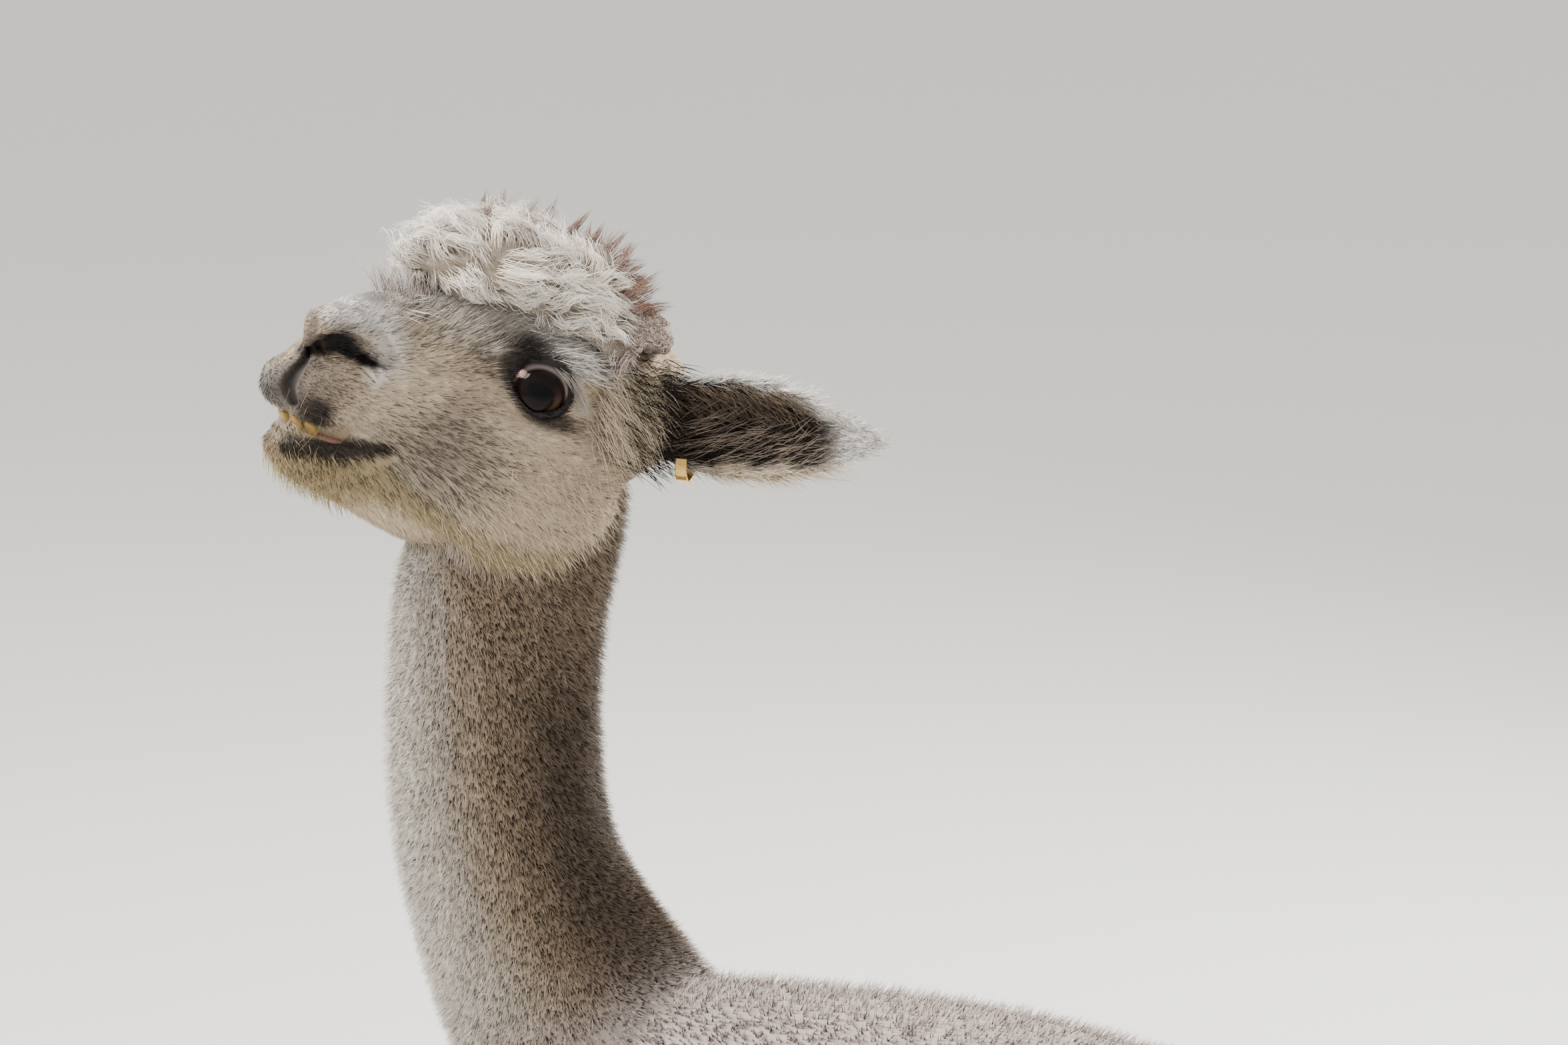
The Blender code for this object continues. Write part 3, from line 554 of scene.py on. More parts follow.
# Height, over the place along the head, of the topknot's lower edge
WOOL_EDGE = ((-0.045, -0.025, 0.0, 0.029, 0.050, 0.075, 0.102, 0.125),
             (0.026, 0.036, 0.062, 0.070, 0.079, 0.086, 0.084, 0.070))

# The face's patches: centre, radii, colour and strength, painted in this order
FACE_PATCHES = (
    ((0.050, 0.050, -0.060), (0.120, 0.060, 0.045), WARM, 0.9),
    ((0.035, 0.065, -0.004), (0.052, 0.030, 0.018), CREAM, 0.8),
    ((0.093, 0.045, -0.022), (0.044, 0.030, 0.034), GREY, 0.50),
    ((0.116, 0.035, 0.010), (0.022, 0.020, 0.030), CREAM, 0.9),
    ((0.080, 0.030, 0.072), (0.055, 0.060, 0.024), IVORY, 0.8),
    ((0.160, 0.018, 0.046), (0.030, 0.028, 0.014), WHITE, 1.0),
    ((0.134, 0.034, 0.026), (0.012, 0.016, 0.020), WHITE, 0.7),
    # Taupe on the roll's front, which is turned down and forward: partly its grey-brown hairs, partly painted
    # shade
    ((0.185, 0.020, 0.026), (0.010, 0.016, 0.014), TAUPE, 0.65),
    ((0.145, 0.008, 0.061), (0.013, 0.016, 0.012), SLATE, 0.95),
    ((0.174, 0.033, -0.004), (0.020, 0.016, 0.018), GREY, 0.35),
    ((0.196, 0.006, -0.014), (0.018, 0.022, 0.016), GREY, 0.75),
    ((0.190, 0.012, -0.013), (0.014, 0.013, 0.011), SLATE, 0.85),
    ((0.180, 0.029, -0.020), (0.006, 0.010, 0.010), IVORY, 0.7),
    ((0.072, 0.052, 0.052), (0.012, 0.016, 0.011), GREY, 0.75),
    ((0.152, 0.026, -0.056), (0.042, 0.035, 0.020), TAN, 0.80),
    ((0.050, 0.058, 0.058), (0.020, 0.020, 0.012), SOOT, 1.0),
    ((0.060, 0.056, 0.042), (0.010, 0.016, 0.013), SOOT, 0.9),
    ((0.032, 0.060, 0.058), (0.020, 0.020, 0.008), SOOT, 0.9),
    ((0.026, 0.064, 0.018), (0.022, 0.020, 0.007), SOOT, 0.9),
    ((0.002, 0.064, 0.048), (0.014, 0.014, 0.012), OCHRE, 0.6),
    ((-0.016, 0.060, 0.030), (0.020, 0.020, 0.030), CREAM, 0.8),
    ((-0.014, 0.062, 0.018), (0.016, 0.020, 0.015), TAUPE, 0.45),
    ((-0.043, 0.054, 0.040), (0.010, 0.022, 0.030), SOOT, 0.9),
    ((0.166, 0.031, -0.0205), (0.0125, 0.014, 0.0100), SOOT, 0.95),
    ((0.178, 0.004, -0.041), (0.012, 0.014, 0.012), TAUPE, 0.6),
)
FLECKS = 0.10  # usual share of dark tufts in the coat
# Patches of the face with more of them: centre, radii and share
FLECK_PATCHES = (
    ((0.088, 0.048, -0.028), (0.046, 0.030, 0.036), 0.60),
    ((0.118, 0.030, 0.045), (0.040, 0.030, 0.024), 0.34),
    ((0.165, 0.020, 0.036), (0.030, 0.020, 0.012), 0.22),
    ((0.172, 0.030, 0.000), (0.030, 0.030, 0.034), 0.55),
    ((0.192, 0.010, -0.012), (0.020, 0.018, 0.018), 0.65),
    ((0.154, 0.028, -0.051), (0.034, 0.030, 0.010), 0.65),
    ((0.178, 0.006, -0.041), (0.012, 0.016, 0.012), 0.55),
    ((0.076, 0.050, 0.044), (0.022, 0.020, 0.016), 0.60),
    ((-0.030, 0.056, 0.040), (0.018, 0.020, 0.034), 0.35),
)
# The face's coat: centre, radii, and shares of its usual length, width and density
FACE_COATS = (
    ((0.170, 0.016, -0.010), (0.045, 0.040, 0.060), 0.65, 0.90, 1.40),
    ((0.146, 0.008, 0.058), (0.014, 0.015, 0.012), 0.25, 0.80, 1.00),
    ((0.184, 0.024, 0.000), (0.010, 0.010, 0.026), 0.50, 0.80, 1.00),
    ((0.034, 0.060, 0.036), (0.026, 0.020, 0.022), 0.55, 0.80, 1.30),
    ((0.010, 0.045, -0.062), (0.075, 0.050, 0.036), 1.25, 1.00, 1.00),
    ((0.080, 0.030, 0.072), (0.050, 0.060, 0.022), 1.90, 1.10, 0.90),
    ((-0.022, 0.058, 0.040), (0.024, 0.020, 0.035), 1.90, 1.10, 1.00),
)


def ear_frame(side):
    """Root of an ear, the way it points, the way its cup opens and the way up across it."""
    root, way, mouth = (np.array(v) for v in EARS[side])
    way = unit(way)
    mouth = unit(mouth)
    return root, way, mouth, unit(np.cross(mouth, way)) * side


def ear_places(head, normals):
    """How far along its ear each point is, how far towards the upper rim, and whether it lies in the cup."""
    along, across, cup = np.zeros((3, len(head)))
    turned = normals @ TURN
    for side in EARS:
        root, way, mouth, up = ear_frame(side)
        own = head[:, 1] * side > 0
        along[own] = (head[own] - root) @ way / EAR_LENGTH
        across[own] = (head[own] - root) @ up / EAR_HALF_WIDTH
        cup[own] = step(turned[own] @ mouth, -0.15, 0.25)
    # The borders of its colours waver a little
    across += 0.07 * np.sin(along * 29) + 0.05 * np.sin(along * 67 + 1)
    return along, across, cup


def past_lower_rim(along, across):
    """How far each point lies past the start of its ear's lower rim."""
    return -across - EAR_LOWER_RIM + along * EAR_TAPER


def slit_distance(side):
    """Distance to the nostril's slit, which reaches deep into the nose."""
    squeeze = np.array((1.0, 0.3, 1.0))
    return path_distance(side * squeeze, np.array(SLIT) * squeeze)


def lid_distance(side):
    """Distance to the rim of the lids."""
    ring = lid_ring(1, LID_OPENING, 24)
    return np.min([np.linalg.norm(side - np.array(spot), axis=1) for spot in ring], axis=0)


def over_wool_edge(head):
    """Height over the topknot's lower edge."""
    return head[:, 2] - np.interp(head[:, 0], *WOOL_EDGE)


def neck_markings(surface):
    """Colours, flecks and reach of the neck: pale in front, beige at the side and dark down the back, the
    dark partly the fleece's own colour and partly painted shade on the side turned from the light.
    """
    front = surface.normals @ NECK_LIT_FRONT
    height = surface.places[:, 2]
    colours = tinted(coloured(BEIGE, len(height)), IVORY, step(front, -0.15, 0.75))
    # Taupe on the side and back: partly the fleece's own colour, partly painted shade away from the light,
    # reaching further forward low down and fading near the head
    dark_from = -0.20 + 0.16 * step(height, 0.80, 1.00)
    dark = step(-front, dark_from, 0.65) * (1 - 0.55 * step(height, 1.00, 1.09))
    colours = tinted(tinted(colours, TAUPE, dark), GREY, step(-front, 0.80, 0.98) * 0.8)
    return colours, FLECKS + 0.22 * step(-front, -0.5, 0.4), surface.weight("neck") * step(height, 0.66, 0.88)


def face_markings(surface):
    """Colours, flecks and reach of the face."""
    head = surface.plan
    side = folded_over(head)
    colours = coloured(GREY_CREAM, len(head))
    for centre, radii, colour, strength in FACE_PATCHES:
        colours = tinted(colours, colour, spot_mask(side, centre, radii, 0.45) * strength)
    # Over the nostril's hole: heights over its top and floor, and the roll's underside beside it, which is
    # painted in shade
    above = side[:, 2] - np.interp(side[:, 0], *HOLE_TOP)
    over = side[:, 2] - np.interp(side[:, 0], *HOLE_FLOOR)
    nostril_shade = band(side[:, 0], 0.139, 0.183) * step(side[:, 1], 0.008, 0.014) * step(over, -0.0010, 0.0012)
    groove = path_distance(head, PHILTRUM)
    lip = path_distance(side, DARK_LIP) + np.maximum(side[:, 2] + 0.030, 0) * 2
    lines = (
        # distance to a line, where its paint starts to fade and where it ends, colour and strength
        (path_distance(side, CHIN_FOLD), 0.002, 0.009, OCHRE, 0.6),
        # Tan along the jaw's lower edge: partly the coat's own tan, partly painted warm shade under the jaw
        (path_distance(side, JAW_EDGE), 0.005, 0.017, TAN, 0.8),
        (-over_wool_edge(side), 0.010, 0.024, WHITE, band(side[:, 0], 0.018, 0.112) * 0.8),
        (lid_distance(side), 0.0040, 0.0080, BLACK, 1.0),
        # Painted shade under the roll: umber fading up from the hole, partly its dark hairs, then black at
        # the hole's mouth
        (above, 0.0, 0.0115, UMBER, nostril_shade * 0.85),
        (above, -0.0015, 0.0035, BLACK, nostril_shade),
        # Painted shade: black deep in the slit
        (slit_distance(side), 0.0014, 0.0034, BLACK, 1.0),
        (groove, 0.0050, 0.0180, UMBER, 0.80),
        (groove, 0.0020, 0.0068, SOOT, 0.92),
        (lip, 0.0048, 0.0098, SOOT, 0.95),
    )
    for distance, start, end, colour, strength in lines:
        colours = tinted(colours, colour, (1 - step(distance, start, end)) * strength)
    flecks = np.full(len(head), 0.09)
    for centre, radii, share in FLECK_PATCHES:
        flecks = np.maximum(flecks, spot_mask(side, centre, radii, 0.6) * share)
    return colours, flecks, surface.weight("head")


def ear_markings(surface):
    """Colours, flecks and reach of the ears, near black in the cup, white on the upper rim and the tip."""
    along, across, cup = ear_places(surface.plan, surface.normals)
    upper = step(across - np.interp(along, *EAR_WHITE), -0.08, 0.10)
    lower = step(past_lower_rim(along, across), 0, 0.14)
    dark = cup * (1 - upper) * (1 - lower) * (1 - step(along, 0.74, 0.90))
    colours = tinted(coloured(WHITE, len(along)), CREAM, lower * 0.9)
    colours = tinted(colours, GREY, (1 - step(along, 0.2, 0.6)) * (1 - cup) * 0.8)
    colours = tinted(colours, SOOT, np.maximum(dark, 1 - step(along, 0.06, 0.16)))
    return colours, FLECKS, surface.weight("ears")


def markings(surface):
    """The coat's colour at each point of the skin, with its painted shade, and the share of dark tufts in it.
    """
    count = len(surface.places)
    # Mauve, going over into beige where the skin faces down: painted shade on the undersides
    colours = tinted(coloured(MAUVE, count), BEIGE, step(-surface.normals[:, 2], -0.5, 0.6) * 0.6)
    flecks = np.full(count, FLECKS)
    for own, share, reach in (neck_markings(surface), face_markings(surface), ear_markings(surface)):
        colours += (own - colours) * reach[:, None]
        flecks += (share - flecks) * reach
    colours += (np.array(BEIGE) - colours) * surface.weight("legs")[:, None] * 0.5
    return colours, flecks


def lie_of_coat(surface):
    """The way the coat lies at each point, along the skin."""
    head = in_head(surface.places)
    # On the face it lies away from the nose, up over the forehead and down over the throat
    nose = np.array((0.205, 0.0, -0.004))
    face = unit(head - nose) + np.outer(step(head[:, 2], 0.02, 0.07), (0, 0, 0.6))
    face += np.outer(step(-head[:, 2], 0.02, 0.07), (0, 0, -0.4))
    ears = np.where(head[:, 1:2] > 0, ear_frame(1)[1], ear_frame(-1)[1])
    ways = {
        "torso": np.array((-1.0, 0.0, -0.55)),
        "neck": np.array((-0.25, -0.05, -1.0)),
        "head": face @ TURN.T,
        "legs": np.array((-0.15, 0.0, -1.0)),
        "ears": ears @ TURN.T,
        "tail": np.array((-0.1, 0.0, -1.0)),
    }
    lie = sum(surface.weight(region)[:, None] * way for region, way in ways.items())
    return flattened(lie, surface.normals)


def coat_measures(surface):
    """Length, width, lean and density of the coat at each point, with none in nostrils, mouth and eyes."""
    side = folded_over(surface.plan)
    near = surface.weight("head")
    shares = np.ones((3, len(side)))
    for centre, radii, *own in FACE_COATS:
        shares *= 1 + (np.array(own) - 1)[:, None] * (spot_mask(side, centre, radii) * near)
    borders = (
        # distance to a bare place, where the coat starts and where it is full
        (slit_distance(side), 0.0025, 0.0045),
        (path_distance(side, MOUTH), 0.001, 0.0025),
        (lid_distance(side), 0.0025, 0.0045),
        (np.linalg.norm(side - np.array(EYE_PLACE), axis=1), EYE_RADIUS + 0.0005, EYE_RADIUS + 0.0012),
    )
    covered = np.min([step(*border) for border in borders], axis=0)
    shares[2] *= 1 + (covered - 1) * near
    surface.length = surface.mixed(LENGTH) * shares[0]
    surface.width = surface.mixed(WIDTH) * shares[1]
    surface.lift = surface.mixed(LEAN)
    surface.density = surface.mixed(DENSITY) * shares[2]


# Tufts


PATCH = 0.003  # size of a tuft's patch on the unwrapped skin
# The regions' boxes on the unwrap, where each ear and each leg has one of its own
UNWRAP_BOXES = ("torso", "neck", "head", "topknot", "tail", "ears", "ears", "legs", "legs", "legs", "legs")
# Size of the fleece's staples, and how tightly the tufts gather to them
STAPLES = {"neck": (0.0034, 0.60), "torso": (0.0050, 0.55)}
STAPLE_STRETCH = 2.6  # their height to their width
# Painted shade at a tuft's root and painted light at its tip, as the brightness of each
TUFT_SHADE_AND_LIGHT = {"neck": (0.60, 1.25), "torso": (0.68, 1.18), "ears": (0.84, 1.18), "head": (0.76, 1.14)}
PLAIN_SHADE_AND_LIGHT = (0.80, 1.10)
TUFT_ROOT = 0.0006  # how deep it sits in the skin
TUFT_FLATNESS = 0.45


def paint(obj, tones):
    """The colour of every point of a piece of coat or skin."""
    colour = obj.data.color_attributes.new("Coat", "FLOAT_COLOR", "POINT")
    colour.data.foreach_set("color", np.c_[tones, np.ones(len(tones))].astype(np.float32).ravel())


def mesh_from_arrays(name, places, faces, patch, tones):
    mesh = bpy.data.meshes.new(name)
    mesh.vertices.add(len(places))
    mesh.vertices.foreach_set("co", places.astype(np.float32).ravel())
    mesh.loops.add(faces.size)
    mesh.loops.foreach_set("vertex_index", faces.astype(np.int32).ravel())
    mesh.polygons.add(len(faces))
    mesh.polygons.foreach_set("loop_start", np.arange(0, faces.size, 3, dtype=np.int32))
    mesh.polygons.foreach_set("use_smooth", np.ones(len(faces), bool))
    mesh.update(calc_edges=True)
    layer = mesh.uv_layers.new(name="OFBake")
    layer.data.foreach_set("uv", patch[faces.ravel()].astype(np.float32).ravel())
    obj = bpy.data.objects.new(name, mesh)
    paint(obj, tones)
    bpy.context.scene.collection.objects.link(obj)
    return obj


def strand_faces(rings):
    """Faces of one strand: its root, the walls between its rings, and its tip."""
    faces = [(0, 2, 1)]
    for ring in range(rings - 1):
        low, high = ring * 3, ring * 3 + 3
        for a, b in ((0, 1), (1, 2), (2, 0)):
            faces += [(low + a, low + b, high + b), (low + a, high + b, high + a)]
    last, tip = (rings - 1) * 3, rings * 3
    return np.array(faces + [(last, last + 1, tip), (last + 1, last + 2, tip), (last + 2, last, tip)])


def strand_mesh(name, paths, widths, flatness, normals, colours, patches):
    """Closed three-sided strands: N paths of K places, the last its tip, with widths and colours at each."""
    count, rings = paths.shape[0], paths.shape[1] - 1
    along = unit(np.gradient(paths, axis=1))
    across = unit(np.cross(along, normals[:, None, :]))
    up = np.cross(across, along)
    angles = np.array((pi / 2, pi * 7 / 6, pi * 11 / 6))
    offsets = (
        across[:, :-1, None, :] * np.cos(angles)[None, None, :, None]
        + up[:, :-1, None, :] * np.sin(angles)[None, None, :, None] * flatness
    )
    ring_places = paths[:, :-1, None, :] + offsets * widths[:, :-1, None, None] / 2
    places = np.concatenate((ring_places.reshape(count, rings * 3, 3), paths[:, -1:, :]), axis=1)
    places[:, :, 2] = np.maximum(places[:, :, 2], FLOOR_CLEARANCE)
    tones = np.concatenate((np.repeat(colours[:, :-1], 3, axis=1), colours[:, -1:]), axis=1)
    faces = (np.arange(count)[:, None, None] * places.shape[1] + strand_faces(rings)).reshape(-1, 3)
    share = np.concatenate((np.repeat(np.arange(rings) / rings, 3), (1.0,)))
    lean = np.concatenate((np.tile((0.0, -1.0, 1.0), rings), (0.0,)))
    patch = patches[:, None, :] + np.stack((lean, share * 2 - 1), axis=1)[None] * PATCH / 2
    return mesh_from_arrays(name, places.reshape(-1, 3), faces, patch.reshape(-1, 2), tones.reshape(-1, 3))


def picked(loads, dice, count=None):
    """Numbers of triangles, spread evenly by their loads, which add up to their count if it isn't given."""
    heap = np.cumsum(loads)
    count = count or int(heap[-1])
    return np.searchsorted(heap, (np.arange(count) + dice.random(count)) * heap[-1] / count)


def roots_on(surface, density, dice):
    """Roots spread evenly over the skin: triangle and shares of its corners."""
    picks = picked(surface.areas * density[surface.triangles].mean(axis=1), dice)
    a, b = dice.random(len(picks)), dice.random(len(picks))
    flip = a + b > 1
    a[flip], b[flip] = 1 - a[flip], 1 - b[flip]
    return surface.triangles[picks], np.stack((1 - a - b, a, b), axis=1)


def at_roots(values, corners, shares):
    return np.einsum("nc,nc...->n...", shares, values[corners])


def unwrapped(places, region):
    """Each place's spot on the skin's unwrap, where every limb's skin is rolled out in a box of its own."""
    if region in ("head", "topknot"):
        own, number = in_head(places), 0
    elif region == "ears":
        number = (in_head(places)[:, 1] > 0).astype(int)
        turns = np.stack([np.stack(ear_frame(side)[1:], axis=1) for side in (-1, 1)])
        own = np.einsum("nk,nkj->nj", in_head(places), turns[number])
    elif region == "legs":
        own, number = places[:, (2, 0, 1)], (places[:, 0] > 0) * 2 + (places[:, 1] > 0)
    else:
        own, number = places[:, ((0, 1, 2) if region == "torso" else (2, 0, 1))], 0
    number = np.broadcast_to(number, len(places))
    spots = np.zeros((len(places), 2))
    for k in np.unique(number):
        some = own[number == k]
        low, high = some.min(axis=0), some.max(axis=0)
        middle = (low + high) / 2
        round_it = np.arctan2(some[:, 2] - middle[2], some[:, 1] - middle[1]) / (2 * pi) + 0.5
        along = (some[:, 0] - low[0]) / (high[0] - low[0])
        box = UNWRAP_BOXES.index(region) + k
        corner = np.array((box % 4, box // 4)) / 4
        spots[number == k] = corner + (np.stack((round_it, along), axis=1) * 0.94 + 0.03) / 4
    return spots


def grow(surface, name, region, where, seed):
    """The short coat of a part of the skin, gathered in small staples where it is fleece."""
    dice = np.random.default_rng(seed)
    corners, shares = roots_on(surface, surface.density * where, dice)
    count = len(corners)

    def here(values):
        return at_roots(values, corners, shares)

    place = here(surface.places)
    normal = unit(here(surface.normals))
    lie = flattened(here(surface.lie) + dice.normal(0, 0.16, (count, 3)), normal)
    length = here(surface.length) * dice.uniform(0.7, 1.2, count)
    width = here(surface.width) * dice.uniform(0.8, 1.25, count)
    lift = np.radians(here(surface.lift) * dice.uniform(0.6, 1.4, count))
    colour = here(surface.colours) * dice.normal(1, 0.08, count)[:, None]
    fleck = dice.random(count) < here(surface.flecks)
    colour[fleck] = colour[fleck] * 0.25 + np.array(SOOT) * 0.5
    way = lie * np.cos(lift)[:, None] + normal * np.sin(lift)[:, None]
    root = place - normal * TUFT_ROOT
    tip = root + way * length[:, None]
    if region in STAPLES:
        size, pull = STAPLES[region]
        centre, tone = staples(tip, size, dice)
        tip += (centre - tip) * pull
        colour *= tone[:, None]
    paths = np.stack((root, tip), axis=1)
    widths = np.stack((width, width * 0), axis=1)
    # A darker root and a paler tip: painted shade and painted light
    root_shade, tip_light = TUFT_SHADE_AND_LIGHT.get(region, PLAIN_SHADE_AND_LIGHT)
    tones = np.stack((colour * root_shade, colour * tip_light), axis=1)
    return strand_mesh(name, paths, widths, TUFT_FLATNESS, normal, tones, unwrapped(place, region))


def staples(tips, size, dice):
    """The middle of the staple that each tuft belongs to, and the staple's tone."""
    squeezed = tips * (1, 1, 1 / STAPLE_STRETCH)
    cells = np.unique(np.round(squeezed / size).astype(int), axis=0)
    middles = (cells + dice.uniform(-0.5, 0.5, cells.shape)) * size
    own = nearest(middles, squeezed)
    total = np.zeros((len(middles), 3))
    np.add.at(total, own, tips)
    filled = np.bincount(own, minlength=len(middles))
    return (total / np.maximum(filled, 1)[:, None])[own], dice.normal(1, 0.12, len(middles))[own]


def grow_coat(surface, finish):
    """The coat of each region, in a left and a right piece, or in one on the tail."""
    own = np.argmax(surface.regions, axis=1)
    on_head = surface.weight("head") + surface.weight("ears") > 0.5
    left = np.where(on_head, in_head(surface.places)[:, 1], surface.places[:, 1]) > 0
    for index, region in enumerate(REGIONS):
        halves = (("left", True),) if region == "tail" else (("left", left), ("right", ~left))
        for side, half in halves:
            seed = index * 2 + (side == "left")
            piece = grow(surface, f"coat_{region}_{side}", region, (own == index) & half, seed)
            dressed(piece, finish)


# Wool of the topknot and the tail


CORE_DEPTH = 0.0105  # of the solid wool under the locks
CORE_GRAIN = (0.004, 8, 0.5)
CORE_SHADE = (0.36, 0.31, 0.26)  # of the solid wool's colour to the hairs'
CORE_TUCK = 0.45  # how far the solid wool draws in below the wool's lower edge
CORE_DROP = 0.008
# Balls, in the head's frame, that fill the solid wool out
CORE_SWELLS = (
    ((0.101, 0.000, 0.100), (0.032, 0.038, 0.026)),
    ((0.112, 0.000, 0.086), (0.030, 0.032, 0.017)),
    ((0.086, 0.018, 0.098), (0.030, 0.032, 0.024)),
    ((0.060, -0.004, 0.098), (0.040, 0.042, 0.034)),
)
# Height, over the place along the head, where the wool parts to lie forward above and back below
PARTING = ((-0.02, 0.03, 0.07, 0.095, 0.110, 0.125), (0.100, 0.108, 0.110, 0.102, 0.086, 0.060))
COMB_FORWARD = np.array((0.60, 0.0, 0.70))
COMB_NAPE = np.array((-0.8, 0.0, -0.5))
COMB_SPREAD = 0.006  # how far past the parting a lock may still lie the other way
LOCK_RINGS = 6
LOCK_ROOT = 0.0008  # how deep a lock roots in the solid wool
WOOL_GUIDES = 460
WOOL_HAIRS = 19500
WOOL_RINGS = 4
WOOL_PIECES = 3
WOOL_WIDTH = 0.00075
WOOL_FLATNESS = 0.6
WOOL = (0.95, 0.92, 0.87)
# Painted shade at the roots of the wool, where the locks cover it
WOOL_ROOT_SHADE = (0.74, 0.67, 0.59)  # how much darker and warmer the wool is at its roots
RUST = (0.20, 0.066, 0.022)
SPIKE_LINE = ((0.085, 0.000, 0.122), (0.066, 0.000, 0.126), (0.030, 0.000, 0.126), (0.006, 0.010, 0.114),
              (-0.006, 0.028, 0.098))
SPIKE_TRIES = 2600  # places on the topknot that may carry a spike
SPIKE_STRANDS = 12
SPIKE_WIDTH = 0.0004


def wool_core():
    """The solid wool inside the topknot."""
    bm = bmesh.new()
    add_solid(bm, "topknot")
    for centre, radii in CORE_SWELLS:
        ball(bm, HEAD @ Vector(centre), radii, HEAD.to_3x3().to_4x4())
    core = remeshed(as_object("topknot_core", bm), *CORE_GRAIN)
    points = core.data.vertices
    head = in_head(read(points, "co", 3).astype(float) - read(points, "normal", 3) * CORE_DEPTH)
    low = 1 - step(over_wool_edge(head), -0.004, 0.008)
    head[:, 1] *= 1 - CORE_TUCK * low
    head[:, 2] -= CORE_DROP * low
    set_places(core, from_head(head))
    core.data.shade_smooth()
    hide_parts("topknot")
    return core


class Ground:
    """A surface that locks of wool lie on."""

    def __init__(self, obj):
        self.places, self.normals, self.triangles, self.areas = arrays_of(obj.data)
        self.tree = BVHTree.FromPolygons(self.places.tolist(), self.triangles.tolist())

    def near(self, places):
        """The surface's nearest places and the normals there."""
        found = [self.tree.find_nearest(place) for place in places.tolist()]
        spots = np.array([hit[0] for hit in found])
        normals = self.normals[self.triangles[[hit[2] for hit in found]]].mean(axis=1)
        return spots, unit(normals)


def lay_locks(ground, roots, ways, lengths, rise, waviness, dice):
    """Spines of locks that leave the surface and lie over it in waves."""
    place, normal = ground.near(roots)
    spines = [place - normal * LOCK_ROOT]
    phase = dice.uniform(0, 2 * pi, len(roots))
    turns = dice.uniform(0.7, 1.5, len(roots))
    droop = dice.uniform(-0.2, 0.5, len(roots))
    for k in range(1, LOCK_RINGS + 1):
        share = k / LOCK_RINGS
        wave = waviness * np.cos(phase + share * turns * 2 * pi)
        heading = flattened(ways + np.cross(normal, ways) * wave[:, None], normal)
        place, normal = ground.near(place + heading * (lengths / LOCK_RINGS)[:, None])
        height = rise * (share ** 0.55 - droop * share ** 4)
        spines.append(place + normal * height[:, None])
    return np.stack(spines, axis=1)


def lock_mesh(name, spines, normals, thickness, root_tones, tip_tones, dice):
    """Every lock as a bundle of strands that wind round its spine and end at different lengths."""
    total, rings = len(spines) * SPIKE_STRANDS, spines.shape[1]
    own = (spines, normals, thickness, root_tones, tip_tones)
    places, normal, thick, roots, tips = (np.repeat(values, SPIKE_STRANDS, axis=0) for values in own)
    spine = resampled(places, dice.uniform(0.72, 1.0, total), rings)
    along = unit(np.gradient(spine, axis=1))
    across = unit(np.cross(along, normal[:, None]))
    up = np.cross(across, along)
    share = np.linspace(0, 1, rings)
    body = np.sin(pi * (0.15 + 0.80 * share)) ** 0.7
    turn = dice.uniform(0, 2 * pi, (total, 1)) + share * dice.uniform(0.5, 2.6, (total, 1))
    far = np.sqrt(dice.random((total, 1))) * body * thick
    paths = spine + across * (np.cos(turn) * far)[..., None] + up * (np.sin(turn) * far * 0.7)[..., None]
    taper = np.minimum(1, (1 - share) * 3.0) ** 0.7
    widths = dice.uniform(0.7, 1.3, (total, 1)) * taper * SPIKE_WIDTH
    # Painted shade: strands under a lock's spine are darker, those over it paler
    depth = 0.80 + 0.25 * np.clip(np.sin(turn) * far / thick, -1, 1)
    tone = dice.normal(1, 0.07, (total, 1)) * depth
    mix = (share ** 1.5)[:, None]
    colours = (roots[:, None] * (1 - mix) + tips[:, None] * mix) * tone[..., None]
    patches = unwrapped(places[:, 0], "topknot")
    return strand_mesh(name, paths, widths, TUFT_FLATNESS, normal, colours, patches)


def on_topknot(places):
    head = in_head(places)
    return (head[:, 2] > 0.026) & (over_wool_edge(head) > -0.004)


def scattered(ground, count, dice):
    """Places spread evenly over the topknot, with the normals there."""
    corners = ground.triangles[picked(ground.areas, dice, count)]
    shares = dice.dirichlet((1, 1, 1), count)
    places = at_roots(ground.places, corners, shares)
    normals = unit(at_roots(ground.normals, corners, shares))
    kept = on_topknot(places)
    return places[kept], normals[kept]


def topknot_tones(head):
    """Ivory wool in front, mauve fleece behind the crown, and how far each place lies in that."""
    rear = 1 - step(head[:, 0], -0.006, 0.010)
    crest = step(head[:, 2], 0.108, 0.124) * (1 - step(head[:, 0], 0.060, 0.095))
    return tinted(coloured(WOOL, len(head)), MAUVE, np.maximum(rear, crest * 0.6)), rear


def over_parting(head):
    """Height over the line where the wool parts."""
    return head[:, 2] - np.interp(head[:, 0], *PARTING)


def topknot_flow(head):
    """The way the topknot is combed: forward over the crown, back along its lower edge and the nape."""
    low = np.stack((np.full(len(head), -0.90), 0.10 * np.sign(head[:, 1]), np.full(len(head), -0.10)), axis=1)
    way = low + (COMB_FORWARD - low) * step(over_parting(head), -0.009, 0.009)[:, None]
    rear = (1 - step(head[:, 0], -0.014, 0.010))[:, None]
    return way + (COMB_NAPE - way) * rear


def resampled(lines, reach, count):
    """Each line's places at even steps, as far as its own reach."""
    at = reach[:, None] * np.linspace(0, lines.shape[1] - 1, count)
    low = np.minimum(at.astype(int), lines.shape[1] - 2)
    part = (at - low)[..., None]
    pick = np.arange(len(lines))[:, None]
    return lines[pick, low] * (1 - part) + lines[pick, low + 1] * part


